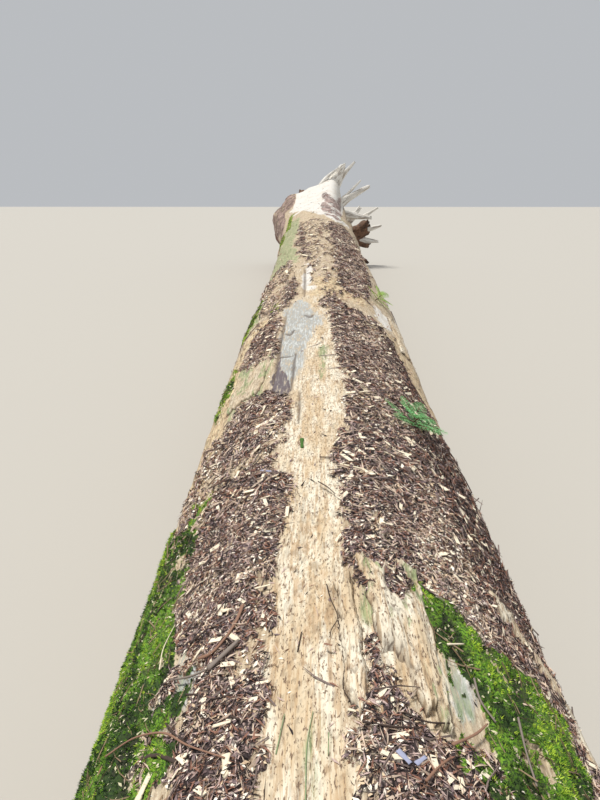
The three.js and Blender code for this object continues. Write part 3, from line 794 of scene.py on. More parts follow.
class Finish:
    """A procedural material while it is being built."""

    def __init__(self, name, roughness=0.85):
        self.material = bpy.data.materials.new(name)
        self.material.use_nodes = True
        self.tree = self.material.node_tree
        self.shader = self.tree.nodes["Principled BSDF"]
        self.shader.inputs["Roughness"].default_value = roughness

    def add(self, kind, settings, inputs, output=0):
        """A node of any kind, with its settings made first and then its sockets filled."""
        node = self.tree.nodes.new(kind)
        for setting, value in settings.items():
            if setting == "stops":
                self.set_stops(node.color_ramp, value)
            else:
                setattr(node, setting, value)
        for key, value in inputs.items():
            self.feed(node.inputs[key], value)
        return Value(self, node.outputs[output])

    def feed(self, socket, value):
        if isinstance(value, Value):
            self.tree.links.new(value.socket, socket)
        else:
            socket.default_value = value

    def set_stops(self, ramp, stops):
        """Makes a ramp that jumps from colour to colour."""
        ramp.interpolation = "CONSTANT"
        while len(ramp.elements) < len(stops):
            ramp.elements.new(0.5)
        for element, (place, colour) in zip(ramp.elements, stops):
            element.position = place
            element.color = colour

    def attribute(self, name, output="Fac"):
        return self.add("ShaderNodeAttribute", {"attribute_name": name}, {}, output)

    def stretched(self, vector, scale):
        return self.add("ShaderNodeVectorMath", {"operation": "MULTIPLY"}, {0: vector, 1: scale})

    def speckle(self, vector, scale, detail=3.0, roughness=0.55):
        values = {"Vector": vector, "Scale": scale, "Detail": detail, "Roughness": roughness}
        return self.add("ShaderNodeTexNoise", {}, values)

    def streaks(self, grain, along, across, detail=4, roughness=0.6):
        """Noise with so many bumps a metre along and across the grain."""
        return self.speckle(self.stretched(grain, (along, across, across)), 1.0, detail, roughness)

    def mosaic(self, vector, stops):
        """Cells that take a colour at random, and each place's distance from the middle of its cell."""
        cell = self.add("ShaderNodeTexVoronoi", {}, {"Vector": vector, "Scale": 1.0}, "Color")
        away = Value(self, cell.socket.node.outputs["Distance"])
        pick = self.add("ShaderNodeSeparateColor", {}, {"Color": cell})
        return self.add("ShaderNodeValToRGB", {"stops": stops}, {"Fac": pick}), away

    def between(self, value, low, high):
        """0 below low, 1 above high, and smooth in between."""
        return self.add(
            "ShaderNodeMapRange",
            {"interpolation_type": "SMOOTHSTEP"},
            {"Value": value, "From Min": low, "From Max": high},
        )

    def mask(self, name, width, ragged, low=0.40, high=0.60):
        """A covering from the mesh, whose edge a noise breaks up, the more the wider it is to be."""
        share = self.attribute(name) * ((ragged - 0.5) * width + 1)
        return self.between(share, low, high)

    def blend(self, share, first, second):
        return self.add("ShaderNodeMix", {"data_type": "RGBA"}, {0: share, 6: first, 7: second}, 2)

    def colour(self, value):
        self.feed(self.shader.inputs["Base Color"], value)

    def roughness(self, value):
        self.feed(self.shader.inputs["Roughness"], value)

    def bump(self, height, distance, strength=1.0):
        values = {"Strength": strength, "Distance": distance, "Height": height}
        self.feed(self.shader.inputs["Normal"], self.add("ShaderNodeBump", {}, values))


def wood_grain(finish, grain, colours):
    """Bare sapwood: bands, streaks, mottles and dark flecks. Returns its colour and its height."""
    broad = finish.streaks(grain, 1.8, 9)
    streaks = finish.streaks(grain, 5.5, 62, 4, 0.65)
    mottles = finish.streaks(grain, 15, 40, 4, 0.75)
    flecks = finish.streaks(grain, 36, 110, 3)
    wood = finish.blend(finish.between(broad, 0.40, 0.60), colours.cream, colours.straw)
    wood = finish.blend(finish.between(streaks, 0.48, 0.62) * 0.70, wood, colours.amber)
    wood = finish.blend(finish.between(mottles, 0.53, 0.62) * 0.65, wood, linear("#a98c6c"))
    wood = finish.blend(finish.between(flecks, 0.568, 0.632) * 0.90, wood, colours.fleck)
    return wood, streaks * 0.5 + flecks * 0.5


LITTER_SHADES = [
    (0.00, linear("#2c2021")),
    (0.26, linear("#665354")),
    (0.44, linear("#8d6f64")),
    (0.60, linear("#b59c94")),
    (0.74, linear("#dcc3a6")),
    (0.88, linear("#fff3e2")),
]
THIN_SHADES = [
    (0.00, linear("#5a4538")),
    (0.20, linear("#b3967a")),
    (0.45, linear("#dcc6a6")),
    (0.70, linear("#f1e3c8")),
]


def litter_ground(finish, place, colours):
    """Bark, needles and chips too small to be pieces. Returns its colour and its height."""
    bend = finish.add("ShaderNodeTexNoise", {}, {"Vector": place, "Scale": 11.0, "Detail": 1.0}, "Color")
    sway = (0.05, 0.05, 0.05)
    bent = finish.add("ShaderNodeVectorMath", {"operation": "MULTIPLY_ADD"}, {0: bend, 1: sway, 2: place})
    lengthways, away_a = finish.mosaic(finish.stretched(bent, (105, 42, 105)), LITTER_SHADES)
    crossways, away_b = finish.mosaic(finish.stretched(bent, (42, 105, 60)), LITTER_SHADES)
    coarse, _ = finish.mosaic(finish.stretched(bent, (18, 5, 18)), LITTER_SHADES)
    crumbled, _ = finish.mosaic(finish.stretched(bent, (70, 50, 70)), THIN_SHADES)
    turn = finish.between(finish.speckle(place, 17.0, 2), 0.46, 0.54)
    chips = finish.blend(turn, lengthways, crossways)
    away = away_a * (1 - turn) + away_b * turn
    # Far off, coarse cells stand in for clumps of litter and the shade between them: partly painted shade
    chips = finish.blend(finish.attribute("far") * 0.75, chips, coarse)
    chips = finish.blend(finish.mask("thin", 2.5, finish.speckle(place, 40.0, 3)) * 0.75, chips, crumbled)
    chips = finish.blend(0.12, chips, colours.litter)
    # Painted shade in the gaps between the chips
    gaps = finish.between(away, 0.40, 0.66)
    return finish.blend(gaps * 0.8, chips, colours.litter_shade), 1 - gaps


def weathered_trunk(colours):
    """The trunk's finish: bare sapwood under grey, bleached, litter, moss, algae and soil, with painted shade
    in hollows, checks, flake edges, the moss and underneath.
    """
    finish = Finish("weathered_trunk")
    grain = finish.attribute("grain", "Vector")
    place = finish.add("ShaderNodeTexCoord", {}, {}, "Object")
    wood, height = wood_grain(finish, grain, colours)
    fine = finish.speckle(place, 55.0, 4, 0.65)
    crumbs = finish.speckle(place, 120.0, 3, 0.6)
    broad = finish.speckle(place, 6.0, 3)
    fibrous = finish.streaks(grain, 6, 48, 4, 0.7)
    ragged = finish.streaks(grain, 9, 26, 5, 0.75)

    worn = finish.between(fibrous, 0.40, 0.54)
    tan = finish.blend(finish.between(fibrous, 0.44, 0.56), linear("#cdbda2"), linear("#ab977c"))
    tan = finish.blend(finish.between(fine, 0.53, 0.61) * 0.6, tan, linear("#8d6f52"))
    wood = finish.blend((1 - finish.mask("bright", 2.6, ragged)) * 0.75, wood, tan)
    amber = finish.blend(finish.between(ragged, 0.44, 0.56), linear("#e6d3a8"), linear("#bf9f78"))
    wood = finish.blend(finish.mask("amber", 2.6, ragged) * 0.55, wood, amber)
    grey = finish.blend(finish.between(fibrous, 0.46, 0.60), colours.grey, linear("#c6c8c4"))
    wood = finish.blend(finish.mask("grey", 3.8, fibrous, 0.25, 0.85) * (0.56 + 0.40 * worn), wood, grey)
    wood = finish.blend(finish.mask("stain", 3.4, fibrous) * (0.45 + 0.5 * worn), wood, linear("#5d5055"))
    bleached = finish.between(finish.speckle(place, 1.8, 6, 0.75), 0.36, 0.52)
    wood = finish.blend(finish.mask("white", 2.6, ragged) * (0.55 + 0.3 * bleached), wood, colours.white)
    algae = finish.blend(finish.between(ragged, 0.45, 0.57), colours.algae, linear("#72845a"))
    wood = finish.blend(finish.mask("algae", 3.8, fibrous, 0.25, 0.80) * (0.45 + 0.42 * worn), wood, algae)
    # Painted shade in the checks, at the foot of flake edges and round the slabs' rims and pockets
    wood = finish.blend(finish.attribute("dark") * 0.8, wood, linear("#4a382c"))
    blotches = finish.speckle(place, 2.6, 6, 0.78)
    scuffed = finish.between(finish.speckle(place, 5.0, 5, 0.75), 0.40, 0.54)
    rosy = finish.blend(finish.between(blotches, 0.44, 0.58), linear("#4c3835"), linear("#b0968e"))
    rosy = finish.blend(finish.between(ragged, 0.48, 0.58) * 0.55, rosy, linear("#75594f"))
    wood = finish.blend(finish.mask("rosy", 5.0, blotches) * (0.62 + 0.36 * scuffed), wood, rosy)
    ground, chips = litter_ground(finish, place, colours)
    # Painted shade on the litter of the right flank
    ground = finish.blend(finish.attribute("umber") * 0.60, ground, linear("#4d3b36"))
    litter = finish.mask("litter", 2.2, fine)
    wood = finish.blend(litter, wood, ground)
    # Soil, also standing for painted shade underneath
    soil = finish.blend(finish.between(broad, 0.35, 0.65), colours.soil, linear("#7a5241"))
    soil = finish.blend(finish.between(fine, 0.45, 0.65) * 0.6, soil, linear("#8f7565"))
    wood = finish.blend(finish.mask("soil", 1.5, fine), wood, soil)
    moss = finish.blend(finish.between(crumbs, 0.42, 0.58), colours.moss_shade, colours.moss)
    moss = finish.blend(finish.between(fine, 0.5, 0.6) * 0.4, moss, linear("#6f6a35"))
    moss = finish.blend(finish.attribute("far") * 0.5, moss, linear("#a3ae3a"))
    moss = finish.blend(finish.attribute("shade") * 0.85, moss, linear("#122708"))
    wood = finish.blend(finish.mask("moss", 2.2, fine), wood, moss)
    # Painted shade in the low places of the litter and the moss
    wood = finish.blend(finish.attribute("hollow") * 0.6, wood, linear("#2b211d"))
    finish.colour(wood)
    finish.bump(height * 0.5 + crumbs * 0.4 + chips * litter * 0.9, 0.007)
    finish.roughness(0.75 + 0.2 * fine)
    return finish.material


def root_wood(name, pale, shade, crevice, mottled):
    """A root's finish: fibres along it, with painted shade in its grooves and mottled with old soil."""
    finish = Finish(name)
    grain = finish.attribute("grain", "Vector")
    place = finish.add("ShaderNodeTexCoord", {}, {}, "Object")
    fibres = finish.streaks(grain, 2.5, 30)
    threads = finish.streaks(grain, 8, 110, 2, 0.55)
    patches = finish.speckle(place, 3.2, 4, 0.6)
    wood = finish.blend(finish.between(fibres, 0.35, 0.65), pale, shade)
    wood = finish.blend(finish.between(patches, 0.5, 0.68) * mottled, wood, crevice)
    # Painted shade in the grooves
    wood = finish.blend(finish.attribute("groove") * 0.8, wood, crevice)
    finish.colour(wood)
    finish.bump(fibres * 0.6 + threads * 0.4, 0.012)
    finish.roughness(0.72 + 0.2 * patches)
    return finish.material


def plain_finish(name, code, roughness=0.8):
    """One plain colour, for small loose things."""
    finish = Finish(name, roughness)
    finish.colour(linear(code) if isinstance(code, str) else code)
    return finish.material


# Limbs, by the source's rule


def smooth_path(points, count=400):
    """Places and distances along the centripetal curve through points, evenly in each span."""
    points = np.asarray(points, float)
    ends = [2 * points[0] - points[1], *points, 2 * points[-1] - points[-2]]
    samples = []
    spans = len(points) - 1
    for i in range(spans):
        p0, p1, p2, p3 = ends[i : i + 4]
        steps = ((p0, p1), (p1, p2), (p2, p3))
        d0, d1, d2 = (max(float(np.sum((b - a) ** 2)) ** 0.25, 1e-4) for a, b in steps)
        m1 = ((p1 - p0) / d0 - (p2 - p0) / (d0 + d1) + (p2 - p1) / d1) * d1
        m2 = ((p2 - p1) / d1 - (p3 - p1) / (d1 + d2) + (p3 - p2) / d2) * d1
        t = np.linspace(0, 1, count // spans, endpoint=i == spans - 1)[:, None]
        leaving = (2 * t**3 - 3 * t**2 + 1) * p1 + (t**3 - 2 * t**2 + t) * m1
        samples.append(leaving + (-2 * t**3 + 3 * t**2) * p2 + (t**3 - t**2) * m2)
    samples = np.concatenate(samples)
    lengths = np.concatenate([[0], np.cumsum(np.linalg.norm(np.diff(samples, axis=0), axis=1))])
    return samples, lengths


def along_path(path, shares):
    """Points and directions at shares of a path's length."""
    samples, lengths = path
    at = np.asarray(shares) * lengths[-1]
    points = np.stack([np.interp(at, lengths, samples[:, i]) for i in range(3)], -1)
    ahead = np.stack([np.interp(at + 0.002, lengths, samples[:, i]) for i in range(3)], -1)
    behind = np.stack([np.interp(at - 0.002, lengths, samples[:, i]) for i in range(3)], -1)
    directions = ahead - behind
    return points, directions / np.linalg.norm(directions, axis=1, keepdims=True)


def unit(vectors):
    return vectors / np.linalg.norm(vectors, axis=-1, keepdims=True)


def limb_along(path, girth, flat, broad, steps, seed):
    """The rule of one limb. Its girth is the radius in metres at the foot and at the tip."""
    return {"path": path, "girth": girth, "flat": flat, "broad": broad, "steps": steps, "seed": seed}


def limb_arrays(limb, sides, spacing, relief, tear):
    """Points, quads, triangles and fields of one limb with grooves along it and a torn tip."""
    path = smooth_path(limb["path"])
    length = path[1][-1]
    rows = max(int(length / spacing), 6)
    shares = np.linspace(0, 1, rows)
    shares = np.append(shares, [1.0, 1.0, 1.0])
    inset = np.append(np.ones(rows), [0.8, 0.45, 0.15])
    centre, direction = along_path(path, shares)
    wide = unit(limb["broad"] - direction * np.sum(direction * limb["broad"], axis=1, keepdims=True))
    thick = np.cross(direction, wide)
    angles = np.linspace(0, 2 * math.pi, sides, endpoint=False)
    u, a = (grid.ravel() for grid in np.meshgrid(shares, angles, indexing="ij"))
    inner = np.repeat(inset, sides)
    seed = limb["seed"]
    girth = mix(limb["girth"][0], limb["girth"][1], u**0.75)
    knotty = 1 + 0.1 * np.sin(9 * u + seed) + 0.08 * np.sin(3 * a + seed + 4 * u)
    around = np.stack([u * length, girth * np.sin(a), girth * np.cos(a)], -1)
    offset = int(seed * 10) + 5
    groove = fractal(around, (1.4, 13.0, 13.0), 3, offset) - 0.5
    fibre = fractal(around, (4.0, 48.0, 48.0), 2, offset + 3) - 0.5
    radius = girth * knotty * (1 + relief * (1.1 * groove + 0.45 * fibre)) * inner
    tip = limb["girth"][1]
    steps = limb["steps"]
    ragged = inner * min(tip, 0.6 * length / steps) * (0.7 * np.sin(2 * a + seed) - 0.4)
    ragged += tear * tip * (fractal(around, (1.0, 60.0, 60.0), 2, offset + 7) - 0.6)
    at_tip = smoothstep(1 - 1.2 * tip / length, 1.0, u)
    shift = np.minimum(ragged * at_tip, 0.35 * tip)

    def repeated(row_values):
        return np.repeat(row_values, sides, axis=0)

    points = (
        repeated(centre)
        + repeated(wide) * (radius * np.sin(a))[:, None]
        + repeated(thick) * (limb["flat"] * radius * np.cos(a))[:, None]
        + repeated(direction) * shift[:, None]
    )
    count = len(points)
    ends = np.stack([centre[0], centre[-1] + direction[-1] * float(shift[-sides:].mean())])
    quads = grid_quads(len(shares), sides, True)
    first = np.arange(sides)
    triangles = [fan(count, first, True, False), fan(count + 1, first + count - sides, True, True)]
    points = np.concatenate([points, ends])
    fields = {
        "grain": np.concatenate([around, [[0, 0, 0], [length, 0, 0]]]),
        "groove": np.append(smoothstep(0.02, 0.22, -groove - 0.4 * fibre), [0, 0]),
    }
    points[:, 2] = np.maximum(points[:, 2], 0.0)
    triangles = np.concatenate(triangles)
    volume = np.sum(points[quads[:, 0]] * np.cross(points[quads[:, 1]], points[quads[:, 2]]))
    volume += np.sum(points[quads[:, 0]] * np.cross(points[quads[:, 2]], points[quads[:, 3]]))
    if volume < 0:
        quads, triangles = quads[:, ::-1], triangles[:, ::-1]
    return points, quads, triangles, fields


def joined(parts):
    """One set of arrays from several."""
    points, quads, triangles, fields = [], [], [], {}
    offset = 0
    for part_points, part_quads, part_triangles, part_fields in parts:
        points.append(part_points)
        quads.append(np.asarray(part_quads).reshape(-1, 4) + offset)
        triangles.append(np.asarray(part_triangles).reshape(-1, 3) + offset)
        for name, values in part_fields.items():
            fields.setdefault(name, []).append(values)
        offset += len(part_points)
    fields = {name: np.concatenate(values) for name, values in fields.items()}
    return np.concatenate(points), np.concatenate(quads), np.concatenate(triangles), fields


# The roots, by the source's rule


def root(angle, reach, back, girth, flat, bow=0.0):
    """A root's angle in degrees and its reach, back and girth in metres, each from foot to tip."""
    return {"angle": angle, "reach": reach, "back": back, "girth": girth, "flat": flat, "bow": bow}


PLATE_AT = 36.9
SEEN_ROOTS = {
    "root_right_burl": root((94, 77), (1.35, 2.98), (0.35, 0.62), (0.64, 0.33), 0.75),
    "root_tall_slab": root((12, 19.8), (1.7, 4.15), (-0.3, 0), (0.7, 0.14), 0.4),
    "root_tall_strand": root((-6, 16.5), (2.2, 3.84), (-0.2, -0.24), (0.18, 0.06), 0.8),
    "root_crooked_horn": root((16, 26.2), (2.2, 4.48), (0.15, 0.25), (0.33, 0.05), 0.6),
    "root_upper_arm": root((28, 46), (1.7, 3.95), (-0.15, 0.15), (0.33, 0.085), 0.7, 0.12),
    "root_upper_twig": root((33, 37.5), (2.5, 3.84), (0.06, 0.02), (0.105, 0.04), 0.8, 0.04),
    "root_side_arm": root((40, 71), (1.6, 3.18), (0, 0.15), (0.32, 0.085), 0.8, 0.3),
    "root_side_twig": root((67, 64.5), (2.8, 3.71), (0.26, 0.12), (0.11, 0.05), 0.8),
    "root_level_prong": root((84, 80.8), (1.9, 3.67), (0.4, 0.56), (0.24, 0.07), 0.7),
    "root_lower_prong": root((96, 95), (1.7, 3.52), (0.5, 0.76), (0.3, 0.09), 0.7),
    "root_right_claw": root((66, 56), (1.7, 2.9), (0.5, 1.0), (0.29, 0.095), 0.7),
}
HIDDEN_ROOTS = 12
HIDDEN_FROM = 104
HIDDEN_TURN = 20.5
SINKER_ROOTS = 10


def direction_round(angle):
    return np.array([math.cos(angle), 0.0, -math.sin(angle)])


def root_limb(sizes, index):
    thickness = sizes["girth"][0] * sizes["flat"]
    path = []
    for u in (0, 0.3, 0.65, 1):
        a = math.radians(mix(*sizes["angle"], u))
        point = trunk_point(COLLAR_AT, a, mix(*sizes["reach"], u))
        sideways = sizes["bow"] * math.sin(math.pi * u)
        point[0] += sideways * math.cos(a)
        point[2] -= sideways * math.sin(a)
        point[1] = BREAK_Y + PLATE_AT + mix(*sizes["back"], u)
        point[2] = max(point[2], thickness * mix(0.75, 0.45, u))
        path.append(point)
    broad = direction_round(math.radians(sizes["angle"][0]))
    return limb_along(path, sizes["girth"], sizes["flat"], broad, 7, index * 1.7)


def rim_roots():
    """The roots round the part of the plate that the view hides, with the source's random draws."""
    draw = seeded(11)
    roots = {}
    for i in range(HIDDEN_ROOTS):
        angle = HIDDEN_FROM + i * HIDDEN_TURN
        left = angle > 200
        reach = mix(2.45, 2.85, next(draw)) if left else mix(2.9, 3.5, next(draw))
        end_angle = angle + mix(-9, 9, next(draw))
        back = mix(1.3, 2.0, next(draw)) if left else mix(0.5, 1.5, next(draw))
        girth = (mix(0.34, 0.48, next(draw)), mix(0.11, 0.18, next(draw)))
        flat = mix(0.6, 0.85, next(draw))
        bow = mix(-0.16, 0.16, next(draw))
        name = f"root_rim_{i + 1:02d}"
        roots[name] = root((angle, end_angle), (1.5, reach), (0.25, back), girth, flat, bow)
    return roots


def sinker_roots():
    """The broken roots on the far face, with the source's random draws."""
    draw = seeded(31)
    roots = {}
    for i in range(SINKER_ROOTS):
        angle = i * 137.5 - 40
        near = 0.3 + i * 0.165
        end_angle = angle + mix(-14, 14, next(draw))
        reach = near * mix(1.25, 1.6, next(draw))
        back = 2.5 if i == 1 else mix(1.4, 2.25, next(draw))
        girth = (mix(0.3, 0.46, next(draw)), mix(0.12, 0.19, next(draw)))
        flat = mix(0.7, 0.95, next(draw))
        name = f"root_sinker_{i + 1}"
        roots[name] = root((angle, end_angle), (near, reach), (0.3, back), girth, flat)
    return roots


# Splinters in the break

SPLINTERS = 11
LONGEST_SPLINTER = 0.46


def splinter_limbs():
    draw = seeded(5)
    limbs = {}
    for i in range(SPLINTERS):
        angle = math.radians(-150 + (i * 320) / SPLINTERS + 14 * next(draw))
        radius = BREAK_RADIUS * mix(0.55, 0.86, next(draw))
        length = LONGEST_SPLINTER if i == 4 else mix(0.24, 0.4, next(draw))
        foot = trunk_point(0.9, angle, radius)
        tip = trunk_point(0.0, angle, radius * mix(0.96, 1.06, next(draw)))
        tip[1] = BREAK_Y + break_relief(radius / BREAK_RADIUS, angle) - length
        girth = (mix(0.18, 0.3, next(draw)), 0.03)
        flat = mix(0.35, 0.55, next(draw))
        path = [foot, mix(foot, tip, 0.5), tip]
        limbs[f"splinter_{i + 1}"] = limb_along(path, girth, flat, direction_round(angle), 3, i * 2.3)
    return limbs


# Slabs of sapwood that cling to the top and the flank

SLABS = {
    "sapwood_slab_right": dict(
        ends=(2.68, 3.42), angle=(12.2, 9.2), width=(8, 14), thick=0.042, bright=1.0, green=0.8,
        spacing=0.006,
        pockets=[(0.060, (0.10, -0.075, 0.16, 0.055)), (0.035, (0.62, 0.03, 0.10, 0.06))],
    ),
    "sapwood_slab_middle": dict(
        ends=(2.65, 3.33), angle=(1.8, 0), width=(3, 4), thick=0.034, bright=1.0, spacing=0.006
    ),
    "sapwood_slab_left": dict(
        ends=(6.15, 7.45), angle=(-39, -37), width=(18, 22), thick=0.030, bright=0.40, green=0.85,
        spacing=0.011,
    ),
    "sapwood_slab_side": dict(
        ends=(8.3, 10.1), angle=(52, 54), width=(8, 12), thick=0.034, bright=0.9, spacing=0.014
    ),
}
SLAB_ROOT = 0.03


def slab_arrays(slab, sizes):
    """A thin slab that follows the trunk, flaky on top, with fibres torn to different lengths at its ends."""
    start, end = slab["ends"]
    length = end - start
    rows = int(length / slab["spacing"])
    columns = max(int(math.radians(max(slab["width"])) * BREAK_RADIUS / slab["spacing"]), 16)
    along, across = np.meshgrid(np.linspace(0, 1, rows), np.linspace(-0.5, 0.5, columns), indexing="ij")
    along, across = along.ravel(), across.ravel()
    breadth = np.radians(mix(*slab["width"], along)) * BREAK_RADIUS
    over = across * breadth
    flat = np.zeros_like(over)
    torn = fractal(np.stack([flat + start, over, flat], -1), (1.0, 38.0, 1.0), 4, 81, 0.65) - 0.5
    station = mix(start, end, along) + (0.04 * np.sin(over * 26 + start * 9) + 0.42 * torn) * (along - 0.5)
    sides = np.stack([along * length, np.sign(across), flat + start], -1)
    wavy = fractal(sides, (9.0, 3.0, 1.0), 4, 83, 0.6) - 0.5
    angle = np.radians(mix(*slab["angle"], along)) + (over + 0.06 * wavy * np.abs(2 * across)) / BREAK_RADIUS
    rim = np.minimum(np.minimum(along, 1 - along) * length, (0.5 - np.abs(across)) * breadth)
    place = np.stack([along * length, over, flat + start], -1)
    flakes, edges = stepped(place, (3.0, 24.0, 1.0), 85, 7.0)
    fibres = fractal(place, (4.0, 85.0, 1.0), 3, 87) - 0.5
    # Pockets sunk into the slab, which the dark field below also paints with shade
    hollow = 0.0
    for depth, (middle_along, middle_over, reach_along, reach_over) in slab.get("pockets", []):
        away = ((along * length - middle_along) / reach_along) ** 2 + ((over - middle_over) / reach_over) ** 2
        hollow = np.maximum(hollow, depth * np.exp(-(away**2)))
    lift = slab["thick"] * (0.40 + 0.085 * flakes) + 0.8 * sizes.grain_depth * fibres - hollow
    lift = np.clip(lift, -0.6 * SLAB_ROOT, slab["thick"]) * smoothstep(0.0, 0.014, rim)
    radius = trunk_radius(station, angle)
    upper = trunk_point(station, angle, radius + lift)
    lower = trunk_point(station, angle, radius - SLAB_ROOT)
    quads = grid_quads(rows, columns, False)
    count = rows * columns
    edge_ring = np.concatenate(
        [
            np.arange(columns - 1),
            np.arange(rows - 1) * columns + columns - 1,
            (rows - 1) * columns + np.arange(columns - 1, 0, -1),
            np.arange(rows - 1, 0, -1) * columns,
        ]
    )
    following = np.roll(edge_ring, -1)
    walls = np.stack([edge_ring, edge_ring + count, following + count, following], -1)
    quads = np.concatenate([quads, quads[:, ::-1] + count, walls])
    film = fractal(place, (5.0, 22.0, 1.0), 4, 89, 0.6)
    fields = {
        "grain": grain_place(station, angle),
        "bright": np.full(count, slab["bright"]),
        # Painted shade at flake edges, along the slab's rim and in its pockets
        "dark": 0.55 * edges + 0.8 * (rim < 0.002) + 20 * np.clip(hollow, 0, 0.05),
        "algae": slab.get("green", 0.0) * smoothstep(0.42, 0.70, film),
    }
    fields = {name: np.concatenate([values, values]) for name, values in fields.items()}
    return np.concatenate([upper, lower]), quads, np.zeros((0, 3), int), fields


# Loose sticks, strips of bark, larger chips and dark lines of painted shadow in the checks: kind, half width
# in metres, how flat, and then degrees and metres ahead of the camera along each

STICKS = [
    ("pale", 0.007, 0.8, [(1.6, 3.23), (9.0, 3.18), (16.3, 3.13)]),
    ("pale", 0.012, 0.3, [(-25.9, 2.09), (-21.6, 2.07)]),
    ("pale", 0.014, 0.3, [(-23.6, 1.94), (-20.9, 1.88)]),
    ("pale", 0.008, 0.4, [(-23.1, 1.51), (-19.9, 1.51)]),
    ("pale", 0.006, 0.5, [(-18.9, 2.17), (-15.3, 2.17)]),
    ("pale", 0.018, 0.35, [(-36.0, 1.34), (-34.5, 1.43)]),
    ("pale", 0.014, 0.4, [(-19.8, 1.39), (-19.4, 1.31)]),
    ("pale", 0.009, 0.4, [(-31.2, 3.12), (-30.2, 3.20)]),
    ("pale", 0.007, 0.4, [(-23.4, 4.03), (-20.1, 4.01)]),
    ("pale", 0.004, 0.9, [(16.7, 4.08), (20.0, 4.05), (23.2, 4.0)]),
    ("pale", 0.004, 0.9, [(24.8, 3.86), (31.0, 3.84), (35.3, 3.77), (37.5, 3.58)]),
    ("pale", 0.004, 0.9, [(20.2, 1.87), (24.3, 1.91)]),
    ("pale", 0.003, 0.8, [(-40.5, 1.93), (-41.5, 2.06), (-39.8, 2.18)]),
    ("pale", 0.011, 0.4, [(50.0, 3.30), (55.0, 3.52)]),
    ("lichen", 0.003, 0.5, [(-18.7, 1.39), (-18.3, 1.31)]),
    ("tuft", 0.013, 0.6, [(-10.0, 3.62), (-9.7, 3.48)]),
    ("grey", 0.012, 0.6, [(-26.5, 1.78), (-23.5, 1.83), (-20.8, 1.88)]),
    ("grey", 0.005, 0.9, [(-34.5, 1.81), (-30.0, 1.78), (-26.5, 1.78)]),
    ("grey", 0.004, 0.9, [(24.2, 1.74), (24.2, 1.64), (26.1, 1.57)]),
    ("grey", 0.004, 0.9, [(31.9, 1.64), (30.9, 1.50), (30.6, 1.38)]),
    ("rust", 0.009, 0.5, [(-21.2, 2.08), (-22.5, 1.97), (-26.5, 1.86), (-29.6, 1.86)]),
    ("rust", 0.005, 0.5, [(16.2, 1.42), (21.2, 1.49), (24.2, 1.55)]),
    ("rust", 0.0045, 0.8, [(-51.5, 1.67), (-43.0, 1.64), (-37.0, 1.60), (-33.0, 1.56), (-27.5, 1.47),
                            (-20.0, 1.38)]),
    ("rust", 0.005, 0.25, [(-3.9, 1.79), (-2.4, 1.78)]),
    ("rust", 0.004, 0.9, [(10.7, 1.28), (13.0, 1.33), (15.3, 1.37)]),
    ("dark", 0.008, 0.6, [(-37.8, 1.51), (-34.2, 1.49), (-28.8, 1.42)]),
    ("dark", 0.004, 0.9, [(-33.0, 1.98), (-28.5, 2.01), (-24.5, 1.99)]),
    ("dark", 0.004, 0.9, [(-33.9, 1.61), (-31.0, 1.54), (-27.8, 1.48)]),
    ("dark", 0.005, 0.9, [(-30.5, 1.70), (-27.5, 1.67), (-24.7, 1.63), (-20.2, 1.62)]),
    ("dark", 0.004, 0.9, [(-20.0, 1.53), (-17.0, 1.50), (-16.0, 1.56)]),
    ("dark", 0.004, 0.9, [(9.0, 1.51), (12.5, 1.485), (16.7, 1.50)]),
    ("dark", 0.004, 0.9, [(2.0, 1.46), (7.0, 1.45), (11.8, 1.46)]),
    # This dark stick follows the check at 2.9 to 3 m ahead: a painted shadow in the crack
    ("dark", 0.003, 0.9, [(-4.8, 3.02), (-2.5, 2.96), (-0.3, 2.88)]),
    ("dark", 0.006, 0.9, [(-58.0, 2.30), (-50.0, 2.45), (-44.0, 2.52)]),
    # Dark lines laid into the checks: painted shadow in the cracks
    ("crack", 0.0024, 0.3, [(-3.2, 2.13), (-2.5, 2.04), (-1.5, 1.97), (-1.2, 1.92), (-2.5, 1.86),
                             (-2.8, 1.82)]),
    ("crack", 0.0024, 0.3, [(-1.2, 1.91), (-0.5, 1.84), (0.0, 1.78)]),
    ("crack", 0.0022, 0.3, [(-0.1, 1.70), (-0.8, 1.59), (0.2, 1.54), (1.3, 1.48)]),
    ("crack", 0.003, 0.6, [(-12.9, 1.20), (-12.8, 1.33)]),
    ("crack", 0.003, 0.6, [(-8.8, 1.76), (-8.2, 1.86)]),
    ("lichen", 0.002, 0.5, [(-11.6, 1.36), (-10.6, 1.50)]),
    ("lichen", 0.002, 0.4, [(-3.4, 1.42), (-3.6, 1.34)]),
    ("lichen", 0.002, 0.5, [(-6.9, 1.20), (-6.8, 1.38), (-5.9, 1.50)]),
    ("blue", 0.010, 0.2, [(7.1, 1.37), (8.8, 1.33)]),
    ("blue", 0.008, 0.2, [(9.6, 1.33), (11.4, 1.36)]),
    ("blue", 0.008, 0.2, [(-22.5, 3.31), (-18.8, 3.25)]),
]
# Each kind's colour and how far it lies above the wood in metres
STICK_KINDS = {
    "pale": ("#efe2c6", 0.018),
    "lichen": ("#83966c", 0.002),
    "tuft": ("#3c661a", 0.004),
    "grey": ("#857970", 0.026),
    "rust": ("#8f6c58", 0.026),
    "dark": ("#43342d", 0.018),
    # Painted shadow in the checks
    "crack": ("#3b2c22", 0.001),
    "blue": ("#a0a4bd", 0.024),
}


